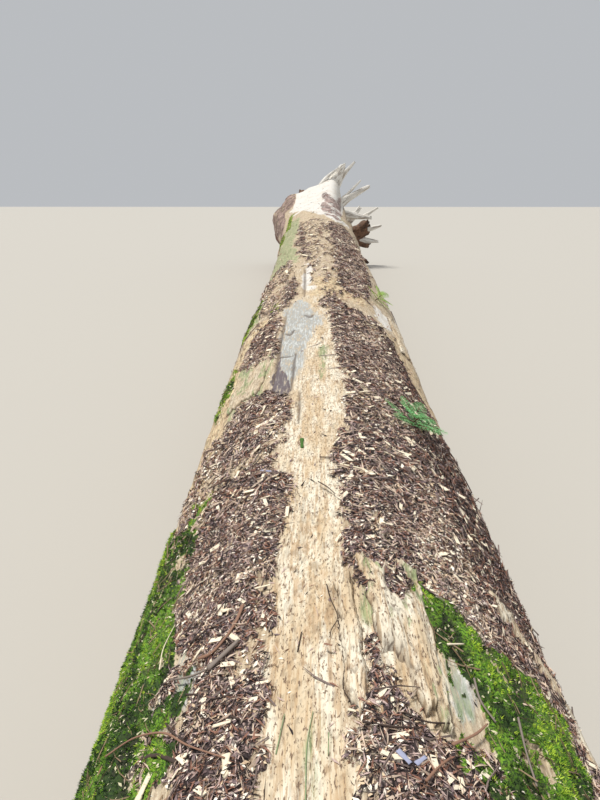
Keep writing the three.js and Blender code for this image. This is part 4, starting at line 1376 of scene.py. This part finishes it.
def stick_arrays(number, width, flat, line, lift):
    """One loose stick or chip that lies along the trunk's surface."""
    angles = np.radians([degrees for degrees, _ in line])
    stations = STAND_AT + np.array([ahead for _, ahead in line])
    farther, rounder = shift_seen(stations, angles, ripples(stations, angles) + lift)
    stations, angles = stations - farther, angles - rounder
    places = trunk_point(stations, angles, trunk_radius(stations, angles) + lift)
    heading = unit(places[-1] - places[0])
    broad = np.cross(heading, [math.sin(angles[0]), 0.0, math.cos(angles[0])])
    stick = limb_along(list(places), (width, width * 0.7), flat, broad, 3, number * 1.3)
    return limb_arrays(stick, 8, 0.012, 0.35, 0.5)


# Green shoots

SHOOTS = {
    "shoot_near": dict(station=5.38, angle=29.5, size=0.36, sprays=10, needle=0.017),
    "shoot_far": dict(station=11.05, angle=42, size=0.37, sprays=8, needle=0.026),
}
TWIGS_A_SIDE = 8


def needle(foot, direction, side, length, width):
    """A flat pointed needle with a keel."""
    tip = foot + direction * length
    middle = foot + direction * length * 0.45
    lift = np.cross(direction, side) * width * 0.25
    return [foot, middle + side * width / 2, tip, middle - side * width / 2, middle + lift]


def shoot_arrays(shoot):
    """Flat sprays round one stem, each a rib with side twigs and two rows of needles on every twig."""
    a = math.radians(shoot["angle"])
    size, longest = shoot["size"], shoot["needle"]
    out = np.array([math.sin(a), 0, math.cos(a)])
    along = np.array([0.0, 1.0, 0.0])
    sideways = direction_round(a)
    surface = float(trunk_radius(np.array(shoot["station"]), np.array(a)))
    foot = trunk_point(shoot["station"], a, surface - 0.02)
    tip = foot + out * size * 0.34 - along * size * 0.25
    stem = limb_along([foot, mix(foot, tip, 0.5), tip], (0.007, 0.004), 1.0, sideways, 2, 0)
    stems = [limb_arrays(stem, 6, 0.02, 0.1, 0.0)]
    points, faces = [], []
    for i in range(shoot["sprays"]):
        u = (i + 0.8) / shoot["sprays"]
        length = size * mix(0.82, 0.55, u)
        turn, pitch = i * 2.4 + 0.5, 0.15 + 0.14 * (i % 4)
        rib = math.cos(pitch) * (math.cos(turn) * sideways + math.sin(turn) * along) + math.sin(pitch) * out
        flat = math.cos(turn) * along - math.sin(turn) * sideways
        start = mix(foot, tip, max(u, 0.3))
        middle = start + rib * length * 0.5
        end = start + rib * length - np.array([0, 0, 0.12 * length])
        twig = limb_along([start, middle, end], (0.0026, 0.0014), 1.0, flat, 2, i)
        stems.append(limb_arrays(twig, 3, 0.05, 0.0, 0.0))
        for k in range(TWIGS_A_SIDE):
            v = (k + 0.8) / TWIGS_A_SIDE
            at = mix(mix(start, middle, v), mix(middle, end, v), v)
            for side in (-1, 1):
                reach = size * 0.24 * math.sin(math.pi * (0.22 + 0.70 * v))
                heading = unit(rib * 0.75 + flat * side)
                across = unit(np.cross(heading, np.cross(rib, flat)))
                count = max(int(reach / (0.42 * longest)), 3)
                for n in range(count):
                    w = (n + 0.6) / count
                    base = at + heading * reach * w - np.array([0, 0, 0.14 * reach * w * w])
                    for hand in (-1, 1):
                        direction = unit(heading * 0.7 + across * hand)
                        breadthwise = unit(np.cross(direction, out))
                        leaf = needle(base, direction, breadthwise, longest * (1 - 0.45 * w), 0.27 * longest)
                        first = len(points)
                        points.extend(leaf)
                        faces += [
                            (first, first + 1, first + 4), (first + 1, first + 2, first + 4),
                            (first + 2, first + 3, first + 4), (first + 3, first, first + 4),
                        ]
    leaves = (np.array(points), np.zeros((0, 4), int), np.array(faces), {})
    return joined(stems), leaves


# Things that are scattered over the trunk, by one node tree


def scatter_tree():
    """Points by a mask, small shapes on them turned and sized at random, then made real."""
    tree = bpy.data.node_groups.new("scatter_on_surface", "GeometryNodeTree")
    face = tree.interface
    face.new_socket("Surface", in_out="INPUT", socket_type="NodeSocketGeometry")
    for name, kind in (
        ("Shape", "NodeSocketObject"),
        ("Finish", "NodeSocketMaterial"),
        ("Mask", "NodeSocketString"),
        ("Density", "NodeSocketFloat"),
        ("Smallest", "NodeSocketFloat"),
        ("Largest", "NodeSocketFloat"),
        ("Tilt", "NodeSocketFloat"),
        ("Lift", "NodeSocketFloat"),
        ("Seed", "NodeSocketInt"),
    ):
        face.new_socket(name, in_out="INPUT", socket_type=kind)
    face.new_socket("Scattered", in_out="OUTPUT", socket_type="NodeSocketGeometry")

    def add(kind, settings, inputs):
        node = tree.nodes.new(kind)
        for setting, value in settings.items():
            setattr(node, setting, value)
        for key, value in inputs.items():
            if isinstance(value, bpy.types.NodeSocket):
                tree.links.new(value, node.inputs[key])
            else:
                node.inputs[key].default_value = value
        return node

    given = tree.nodes.new("NodeGroupInput").outputs
    mask = add("GeometryNodeInputNamedAttribute", {"data_type": "FLOAT"}, {"Name": given["Mask"]})
    density = add("ShaderNodeMath", {"operation": "MULTIPLY"}, {0: mask.outputs[0], 1: given["Density"]})
    points = add(
        "GeometryNodeDistributePointsOnFaces",
        {"distribute_method": "RANDOM"},
        {"Mesh": given["Surface"], "Density": density.outputs[0], "Seed": given["Seed"]},
    )
    tilt_back = add("ShaderNodeMath", {"operation": "MULTIPLY"}, {0: given["Tilt"], 1: -1.0})
    back = tilt_back.outputs[0]
    low = add("ShaderNodeCombineXYZ", {}, {"X": back, "Y": back, "Z": -math.pi})
    high = add("ShaderNodeCombineXYZ", {}, {"X": given["Tilt"], "Y": given["Tilt"], "Z": math.pi})
    turn = add(
        "FunctionNodeRandomValue",
        {"data_type": "FLOAT_VECTOR"},
        {0: low.outputs[0], 1: high.outputs[0], "Seed": given["Seed"]},
    )
    turned = add(
        "FunctionNodeRotateRotation",
        {"rotation_space": "LOCAL"},
        {"Rotation": points.outputs["Rotation"], "Rotate By": turn.outputs[0]},
    )
    more = add("ShaderNodeMath", {"operation": "ADD"}, {0: given["Seed"], 1: 1.0})
    size = add(
        "FunctionNodeRandomValue",
        {"data_type": "FLOAT"},
        {2: given["Smallest"], 3: given["Largest"], "Seed": more.outputs[0]},
    )
    raise_by = add(
        "ShaderNodeVectorMath",
        {"operation": "SCALE"},
        {0: points.outputs["Normal"], "Scale": given["Lift"]},
    )
    raised = add(
        "GeometryNodeSetPosition", {}, {"Geometry": points.outputs["Points"], "Offset": raise_by.outputs[0]}
    )
    shape = add("GeometryNodeObjectInfo", {}, {"Object": given["Shape"], "As Instance": True})
    placed = add(
        "GeometryNodeInstanceOnPoints",
        {},
        {
            "Points": raised.outputs[0],
            "Instance": shape.outputs["Geometry"],
            "Rotation": turned.outputs[0],
            "Scale": size.outputs[1],
        },
    )
    real = add("GeometryNodeRealizeInstances", {}, {"Geometry": placed.outputs[0]})
    finished = add("GeometryNodeSetMaterial", {}, {"Geometry": real.outputs[0], "Material": given["Finish"]})
    result = tree.nodes.new("NodeGroupOutput")
    tree.links.new(finished.outputs[0], result.inputs[0])
    return tree


def scatter(tree, surface, values):
    """The plain mesh that the tree leaves on a surface object with these inputs."""
    modifier = surface.modifiers.new("scatter", "NODES")
    modifier.node_group = tree
    items = tree.interface.items_tree
    sockets = {item.name: item.identifier for item in items if getattr(item, "in_out", "") == "INPUT"}
    for name, value in values.items():
        modifier[sockets[name]] = value
    surface.update_tag()
    graph = bpy.context.evaluated_depsgraph_get()
    mesh = bpy.data.meshes.new_from_object(surface.evaluated_get(graph), depsgraph=graph)
    surface.modifiers.remove(modifier)
    return mesh


def small_shape(name, points, faces):
    """A pattern object that is scattered, kept out of the scene."""
    mesh = bpy.data.meshes.new(name)
    mesh.from_pydata(points, [], faces)
    return bpy.data.objects.new(name, mesh)


def sliver_shape(name, breadth):
    """A thin bent sliver, one unit long."""
    points = [(-0.5, -0.02, 0.0), (0.5, 0.08, 0.03), (0.02, -breadth, 0.02), (0.05, 0.6 * breadth, 0.09)]
    return small_shape(name, points, [(0, 2, 3), (2, 1, 3), (0, 3, 1), (0, 1, 2)])


def chip_shape():
    """A flat flake with a broken outline, one unit long."""
    points = [(-0.5, -0.05, 0), (-0.1, -0.20, 0.03), (0.48, -0.08, 0), (0.05, 0.17, 0.05), (0, 0, -0.06)]
    return small_shape("chip", points, [(0, 1, 3), (1, 2, 3), (0, 4, 1), (1, 4, 2), (2, 4, 3), (3, 4, 0)])


def flake_shape():
    """A flat squarish splinter of wood, one unit long."""
    outline = [(-0.5, -0.13), (0.46, -0.17), (0.5, 0.12), (-0.42, 0.16)]
    points = [(x, y, z) for z in (0.0, 0.05) for x, y in outline]
    faces = [(3, 2, 1, 0), (4, 5, 6, 7), (0, 1, 5, 4), (1, 2, 6, 5), (2, 3, 7, 6), (3, 0, 4, 7)]
    return small_shape("flake", points, faces)


def twig_shape():
    """A thin crooked stick, one unit long."""
    points, faces = [], []
    rings = [(-0.5, 0, 0.01, 0.024), (0.05, 0.05, 0.03, 0.02), (0.5, -0.02, 0.02, 0.007)]
    for i, (x, y, z, r) in enumerate(rings):
        for k in range(3):
            turn = 2 * math.pi * k / 3
            points.append((x, y + r * math.cos(turn), z + r * math.sin(turn)))
        if i:
            first = 3 * i
            for k in range(3):
                nearer, next_near = first - 3 + k, first - 3 + (k + 1) % 3
                faces.append((nearer, next_near, next_near + 3, nearer + 3))
    faces += [(2, 1, 0), (6, 7, 8)]
    return small_shape("twig", points, faces)


def spray_shape():
    """A fallen spray of needles, one unit long."""
    points = [(-0.5, 0.0, 0.0), (0.5, 0.03, 0.03), (0.0, 0.03, 0.02), (0.0, -0.03, 0.05)]
    faces = [(0, 3, 2), (3, 1, 2), (0, 1, 3), (0, 2, 1)]
    for i in range(4):
        x = -0.32 + 0.19 * i
        for side in (-1, 1):
            first = len(points)
            points += [(x, 0, 0.03), (x + 0.07, 0, 0.03), (x + 0.16, side * (0.22 - 0.02 * i), 0.005)]
            faces.append((first, first + 1, first + 2) if side > 0 else (first + 1, first, first + 2))
    return small_shape("spray", points, faces)


def tuft_shape():
    """Three leafy moss shoots, one unit high."""
    points, faces = [], []
    for k in range(3):
        turn = 2.1 * k
        x, y = 0.18 * math.cos(turn), 0.18 * math.sin(turn)
        first = len(points)
        for j in range(3):
            spin = turn + 2 * math.pi * j / 3
            points.append((x + 0.15 * math.cos(spin), y + 0.15 * math.sin(spin), -0.1))
        points.append((x * 2.6, y * 2.6, 0.8 + 0.15 * k))
        faces += [(first + j, first + (j + 1) % 3, first + 3) for j in range(3)]
    return small_shape("tuft", points, faces)


# Operators

# What one operator leaves for the next
MADE = {}


class REDWOOD_OT_trunk(bpy.types.Operator):
    """Builds the trunk in bays, with its relief and everything that covers it"""

    bl_idname = "redwood.trunk"
    bl_label = "Trunk"

    def execute(self, context):
        sizes, colours = context.scene.redwood_sizes, context.scene.redwood_colours
        finish = weathered_trunk(colours)
        bays = []
        for bay in range(len(BAY_ENDS) - 1):
            if bay < SPLIT_BAYS:
                parts = [
                    ("top", -SPLIT_ANGLE, SPLIT_ANGLE, False),
                    ("side", SPLIT_ANGLE, 360 - SPLIT_ANGLE, False),
                ]
            else:
                parts = [("whole", -180, 180, True)]
            for part, start, end, closed in parts:
                name = f"trunk_bay_{bay + 1}_{part}"
                mesh = bay_mesh(name, bay, start, end, closed, sizes)
                bays.append((bay, part, show(name, mesh, finish, ["trunk"])))
        MADE["bays"] = bays
        MADE["trunk_finish"] = finish
        return {"FINISHED"}


class REDWOOD_OT_root_crown(bpy.types.Operator):
    """Builds the rounded rim and the far face of the root crown"""

    bl_idname = "redwood.root_crown"
    bl_label = "Root Crown"

    def execute(self, context):
        sizes = context.scene.redwood_sizes
        columns = columns_of(len(BAY_ENDS) - 2, -180, 180)[:-1]
        bends = np.array([0, 0.26, 0.46, 0.80, 1.3, 1.8, 2.3])
        share_at = np.array([1, 0.985, 0.93, 0.78, 0.52, 0.26, 0.0])
        height_at = np.array([0, 0.6, 1, 1, 1, 1, 1]) * RIM_DEPTH

        def place_of(bend, angle):
            share = np.interp(bend, bends, share_at)
            height = np.interp(bend, bends, height_at)
            collar = np.full_like(angle, COLLAR_AT)
            relief, _ = surface_at(collar, angle, sizes)
            place = np.stack([bend, share * np.sin(angle) * 2.2, share * np.cos(angle) * 2.2], -1)
            rough = (fractal(place, 3.0, 4, 91) - 0.5) * 0.26 * smoothstep(0, 0.4, bend)
            bulge = underside_relief(share, angle) * smoothstep(0, RIM_DEPTH, height)
            radius = share * (trunk_radius(collar, angle) + relief * (1 - smoothstep(0, 0.3, bend)))
            radius = radius + rough * 0.4 * smoothstep(0.0, 0.2, share)
            return trunk_point(collar, angle, radius, COLLAR_AT + height + bulge + rough)

        def fields_of(bend, angle):
            share = np.interp(bend, bends, share_at)
            collar = np.full_like(angle, COLLAR_AT)
            _, cover = surface_at(collar, angle, sizes)
            far = smoothstep(0.1, 0.5, bend)
            fields = {kind: value * (1 - far) for kind, value in cover.items()}
            # The far face takes the soil colour throughout, partly as painted shade
            fields["soil"] = np.maximum(cover["soil"], far)
            radius = share * GRAIN_RADIUS
            fields["grain"] = np.stack([COLLAR_AT + bend, radius * np.sin(angle), radius * np.cos(angle)], -1)
            return fields

        rows = steps_between(0.0, bends[-1] - 0.05, lambda bend: 0.03)
        inner = trunk_point(np.array([COLLAR_AT]), np.zeros(1), np.zeros(1))
        mesh = disc_mesh("root_crown", rows, columns, place_of, fields_of, inner, 1)
        show("root_crown", mesh, MADE["trunk_finish"], ["trunk"])
        return {"FINISHED"}


class REDWOOD_OT_break_face(bpy.types.Operator):
    """Builds the torn face of the break and the splinters that stand out of it"""

    bl_idname = "redwood.break_face"
    bl_label = "Break"

    def execute(self, context):
        sizes = context.scene.redwood_sizes
        side = columns_of(0, SPLIT_ANGLE, 360 - SPLIT_ANGLE)
        top = columns_of(0, -SPLIT_ANGLE, SPLIT_ANGLE)
        columns = np.concatenate([top[:-1], side[:-1]])

        def place_of(bend, angle):
            share = 1 - bend
            edge = np.zeros_like(angle)
            relief, _ = surface_at(edge, angle, sizes)
            radius = share * (trunk_radius(edge, angle) + relief)
            return trunk_point(edge, angle, radius, break_relief(share, angle) + break_jag(share, angle))

        def fields_of(bend, angle):
            share = 1 - bend
            across, up = share * np.sin(angle), share * np.cos(angle)
            torn = fractal(np.stack([across, up, 0 * angle], -1), 20.0, 2, 75)
            grain = np.stack([0 * share, across, up], -1)
            # Torn patches that the finish darkens with the crevice colour: painted shade
            return {"grain": grain, "groove": smoothstep(0.5, 0.7, torn)}

        rows = np.linspace(0, 0.98, 60)
        inner = trunk_point(np.array([BREAK_CORE_AT]), np.zeros(1), np.zeros(1))
        finish = root_wood("torn_heartwood", linear("#b98558"), linear("#8a5434"), linear("#4a2a1c"), 0.5)
        mesh = disc_mesh("break_face", rows, columns, place_of, fields_of, inner, -1)
        show("break_face", mesh, finish, ["trunk"])
        finish = root_wood("splintered_wood", linear("#c79a68"), linear("#96683f"), linear("#4f3020"), 0.3)
        limbs = splinter_limbs()
        parts = [limb_arrays(limb, 18, 0.03, 0.35, 0.4) for limb in limbs.values()]
        show("splinters", plain_mesh("splinters", *joined(parts)), finish, list(limbs))
        return {"FINISHED"}


class REDWOOD_OT_roots(bpy.types.Operator):
    """Builds the roots of the plate, grooved along their length and torn at their tips"""

    bl_idname = "redwood.roots"
    bl_label = "Roots"

    def execute(self, context):
        bleached = root_wood("bleached_root", linear("#fbf8f1"), linear("#e0dbd1"), linear("#a09488"), 0.15)
        stained = root_wood("stained_root", linear("#8b6a52"), linear("#5d4030"), linear("#2e1d16"), 0.7)
        numbered = {}
        for name, sizes in {**SEEN_ROOTS, **rim_roots(), **sinker_roots()}.items():
            numbered[name] = root_limb(sizes, len(numbered))
        for name in SEEN_ROOTS:
            # The burl under the right flank takes the darker stained finish: partly soil, partly painted
            # shade
            dark = name == "root_right_burl"
            arrays = limb_arrays(numbered[name], 40, 0.035, 0.30, 1.2)
            show(
                f"{name}_wood",
                plain_mesh(name, *arrays),
                stained if dark else bleached,
                [name],
            )
        for group in ("root_rim", "root_sinker"):
            names = [name for name in numbered if name.startswith(group)]
            arrays = joined([limb_arrays(numbered[name], 36, 0.04, 0.32, 1.0) for name in names])
            show(f"{group}_wood", plain_mesh(group, *arrays), stained, names)
        return {"FINISHED"}


class REDWOOD_OT_slabs(bpy.types.Operator):
    """Builds the slabs of sapwood that cling to the trunk"""

    bl_idname = "redwood.slabs"
    bl_label = "Sapwood Slabs"

    def execute(self, context):
        sizes = context.scene.redwood_sizes
        for name, slab in SLABS.items():
            mesh = plain_mesh(name, *slab_arrays(slab, sizes))
            show(f"{name}_wood", mesh, MADE["trunk_finish"], [name])
        return {"FINISHED"}


class REDWOOD_OT_shoots(bpy.types.Operator):
    """Grows the green shoots on the right flank"""

    bl_idname = "redwood.shoots"
    bl_label = "Shoots"

    def execute(self, context):
        colours = context.scene.redwood_colours
        greens = {"shoot_near": colours.needles, "shoot_far": colours.young_needles}
        bark = plain_finish("shoot_stem", "#5f4a2c", 0.8)
        for name, shoot in SHOOTS.items():
            needles = plain_finish(f"{name}_green", greens[name], 0.6)
            stems, leaves = shoot_arrays(shoot)
            show(f"{name}_stems", plain_mesh(f"{name}_stems", *stems), bark, [name])
            show(f"{name}_needles", plain_mesh(f"{name}_needles", *leaves), needles, [name])
        return {"FINISHED"}


class REDWOOD_OT_sticks(bpy.types.Operator):
    """Lays the larger sticks, strips of bark and chips on the trunk, and dark lines of painted shadow in its
    checks
    """

    bl_idname = "redwood.sticks"
    bl_label = "Sticks"

    def execute(self, context):
        for kind, (colour, lift) in STICK_KINDS.items():
            parts = [
                stick_arrays(number, width, flat, line, lift)
                for number, (own_kind, width, flat, line) in enumerate(STICKS)
                if own_kind == kind
            ]
            name = f"{kind}_sticks"
            show(name, plain_mesh(name, *joined(parts)), plain_finish(name, colour))
        return {"FINISHED"}


# Loose litter: name, shape, colour, where it lies, pieces per square metre near the camera, smallest and
# largest in metres, tilt
LITTER = [
    ("dark_shreds", "shred", "#2c2120", "dark_spill", 2500, 0.018, 0.058, 0.50),
    ("plum_chips", "chip", "#7d6a6b", "dark_spill", 1700, 0.009, 0.032, 0.55),
    ("brown_sprays", "spray", "#7f5f4c", "spill", 420, 0.028, 0.060, 0.40),
    ("rust_shreds", "shred", "#946a58", "dark_spill", 1700, 0.016, 0.056, 0.50),
    ("dusty_shreds", "shred", "#c9b0a8", "dusty_spill", 1700, 0.014, 0.050, 0.50),
    ("tan_chips", "chip", "#e0c7a6", "pale_spill", 2300, 0.008, 0.029, 0.55),
    ("cream_chips", "chip", "#fff5e3", "pale_spill", 1900, 0.008, 0.036, 0.45),
    ("pale_slivers", "flake", "#f7ead0", "spill", 80, 0.024, 0.070, 0.25),
    ("pale_straws", "straw", "#d8c2ad", "dusty_spill", 800, 0.026, 0.085, 0.35),
    ("grey_twigs", "twig", "#7c6c66", "spill", 120, 0.060, 0.170, 0.12),
    ("moss_twigs", "twig", "#8d775d", "tufts", 130, 0.050, 0.140, 0.20),
    ("moss_chips", "chip", "#d0caa6", "tufts", 640, 0.006, 0.025, 0.50),
    ("wood_crumbs", "chip", "#6f5a47", "bare", 850, 0.003, 0.009, 0.50),
]
# How much larger and how much sparser loose things get, bay by bay
GROWTH = [1.6, 1.0, 1.5, 2.2, 2.7, 3.0, 3.2, 3.3, 3.3, 3.3]
SPARSER = [0.6, 1.0, 1.0, 0.78, 0.62, 0.50, 0.44, 0.40, 0.38, 0.38]
LITTER_LIFT = 0.002


def strewn(bay, surface, shape, finish, mask, density, sizes, tilt, lift, seed):
    """Small shapes scattered over one bay, with sizes as the smallest and largest near the camera."""
    growth = GROWTH[bay]
    return scatter(
        MADE["scatter"],
        surface,
        {
            "Shape": shape,
            "Finish": finish,
            "Mask": mask,
            "Density": density * SPARSER[bay] / growth**2,
            "Smallest": sizes[0] * growth,
            "Largest": sizes[1] * growth,
            "Tilt": tilt,
            "Lift": lift * growth,
            "Seed": seed,
        },
    )


class REDWOOD_OT_litter(bpy.types.Operator):
    """Lays shreds, needles, chips and twigs over the litter"""

    bl_idname = "redwood.litter"
    bl_label = "Litter"

    def execute(self, context):
        sizes = context.scene.redwood_sizes
        shapes = {
            "shred": sliver_shape("shred", 0.08),
            "straw": sliver_shape("straw", 0.045),
            "chip": chip_shape(),
            "flake": flake_shape(),
            "twig": twig_shape(),
            "spray": spray_shape(),
        }
        finishes = {kind: plain_finish(kind, colour) for kind, _, colour, *_ in LITTER}
        for bay, part, surface in MADE["bays"]:
            if part == "side":
                continue
            for number, (kind, shape, _, where, density, smallest, largest, tilt) in enumerate(LITTER):
                density *= sizes.litter_share
                seed = sizes.seed + 10 * bay + number
                mesh = strewn(
                    bay, surface, shapes[shape], finishes[kind], where, density, (smallest, largest), tilt,
                    LITTER_LIFT, seed,
                )
                if len(mesh.polygons):
                    show(f"{kind}_{bay + 1}", mesh, finishes[kind])
        return {"FINISHED"}


# Moss tufts: name, colour, where they grow, tufts per square metre near the camera
# Bright tufts crowd where the moss is painted sunlit, deep tufts where it is painted in shade
MOSS = [
    ("bright_moss", "#c0dc48", "sunny_tufts", 2600),
    ("fresh_moss", "#62911f", "tufts", 1500),
    ("deep_moss", "#183205", "shady_tufts", 3000),
]
TUFT_SIZES = (0.006, 0.015)
TUFT_TILT = 0.6


class REDWOOD_OT_moss(bpy.types.Operator):
    """Grows tufts of moss over the moss patches"""

    bl_idname = "redwood.moss"
    bl_label = "Moss"

    def execute(self, context):
        tuft = tuft_shape()
        for number, (kind, colour, where, density) in enumerate(MOSS):
            finish = plain_finish(kind, colour, 0.9)
            seed = context.scene.redwood_sizes.seed + 200 + number
            for bay, part, surface in MADE["bays"]:
                mesh = strewn(bay, surface, tuft, finish, where, density, TUFT_SIZES, TUFT_TILT, 0.0, seed)
                if len(mesh.polygons):
                    show(f"{kind}_{part}_{bay + 1}", mesh, finish)
        return {"FINISHED"}


# The stage

FLOOR_REACH = 300.0
FLOOR_AT = -0.004
SKY_LIGHT = 0.53
SUN_LIGHT = 3.3
SUN_BREADTH = 10
SUN_TILT = (-10, -20, 0)


class REDWOOD_OT_stage(bpy.types.Operator):
    """Sets a pale floor, soft light and the camera over the near end of the trunk"""

    bl_idname = "redwood.stage"
    bl_label = "Stage"

    def execute(self, context):
        scene = context.scene
        signs = [(-1, -1), (1, -1), (1, 1), (-1, 1)]
        corners = [(x * FLOOR_REACH, y * FLOOR_REACH, FLOOR_AT) for x, y in signs]
        mesh = bpy.data.meshes.new("floor")
        mesh.from_pydata(corners, [], [(0, 1, 2, 3)])
        floor = bpy.data.objects.new("floor", mesh)
        mesh.materials.append(plain_finish("floor", "#b9b5ad", 0.9))
        scene.collection.objects.link(floor)

        world = bpy.data.worlds.new("studio")
        world.use_nodes = True
        background = world.node_tree.nodes["Background"]
        background.inputs["Color"].default_value = (0.93, 0.96, 1.0, 1.0)
        background.inputs["Strength"].default_value = SKY_LIGHT
        scene.world = world

        sun = bpy.data.lights.new("soft_sun", "SUN")
        sun.energy = SUN_LIGHT
        sun.angle = math.radians(SUN_BREADTH)
        sun.color = (1.0, 0.97, 0.92)
        lamp = bpy.data.objects.new("soft_sun", sun)
        lamp.rotation_euler = [math.radians(turn) for turn in SUN_TILT]
        scene.collection.objects.link(lamp)

        camera = bpy.data.cameras.new("viewer")
        camera.lens = LENS
        camera.sensor_width = SENSOR
        camera.clip_end = 2000
        viewer = bpy.data.objects.new("viewer", camera)
        top = axis_height(STAND_AT) + BREAK_RADIUS + TAPER * STAND_AT
        viewer.location = (AXIS_X + EYE_ASIDE, BREAK_Y + STAND_AT, top + EYE_HEIGHT)
        viewer.rotation_euler = (math.radians(90 - PITCH_DOWN), 0, math.radians(YAW_LEFT))
        scene.collection.objects.link(viewer)
        scene.camera = viewer
        scene.view_settings.view_transform = "Standard"
        return {"FINISHED"}


class REDWOOD_PT_panel(bpy.types.Panel):
    """Lists the pieces of the redwood"""

    bl_idname = "REDWOOD_PT_panel"
    bl_label = "Fallen Redwood"
    bl_space_type = "VIEW_3D"
    bl_region_type = "UI"
    bl_category = "Redwood"

    def draw(self, context):
        for operator in OPERATORS:
            self.layout.operator(operator.bl_idname)
        for group in (context.scene.redwood_sizes, context.scene.redwood_colours):
            for name in group.__annotations__:
                self.layout.prop(group, name)


OPERATORS = [
    REDWOOD_OT_trunk,
    REDWOOD_OT_root_crown,
    REDWOOD_OT_break_face,
    REDWOOD_OT_roots,
    REDWOOD_OT_slabs,
    REDWOOD_OT_shoots,
    REDWOOD_OT_sticks,
    REDWOOD_OT_litter,
    REDWOOD_OT_moss,
    REDWOOD_OT_stage,
]
CLASSES = [RedwoodSizes, RedwoodColours, *OPERATORS, REDWOOD_PT_panel]


def register():
    for cls in CLASSES:
        bpy.utils.register_class(cls)
    bpy.types.Scene.redwood_sizes = PointerProperty(type=RedwoodSizes)
    bpy.types.Scene.redwood_colours = PointerProperty(type=RedwoodColours)


def unregister():
    del bpy.types.Scene.redwood_colours
    del bpy.types.Scene.redwood_sizes
    for cls in reversed(CLASSES):
        bpy.utils.unregister_class(cls)


def main():
    register()
    MADE["scatter"] = scatter_tree()
    for operator in OPERATORS:
        group, name = operator.bl_idname.split(".")
        getattr(getattr(bpy.ops, group), name)()


if __name__ == "__main__":
    main()
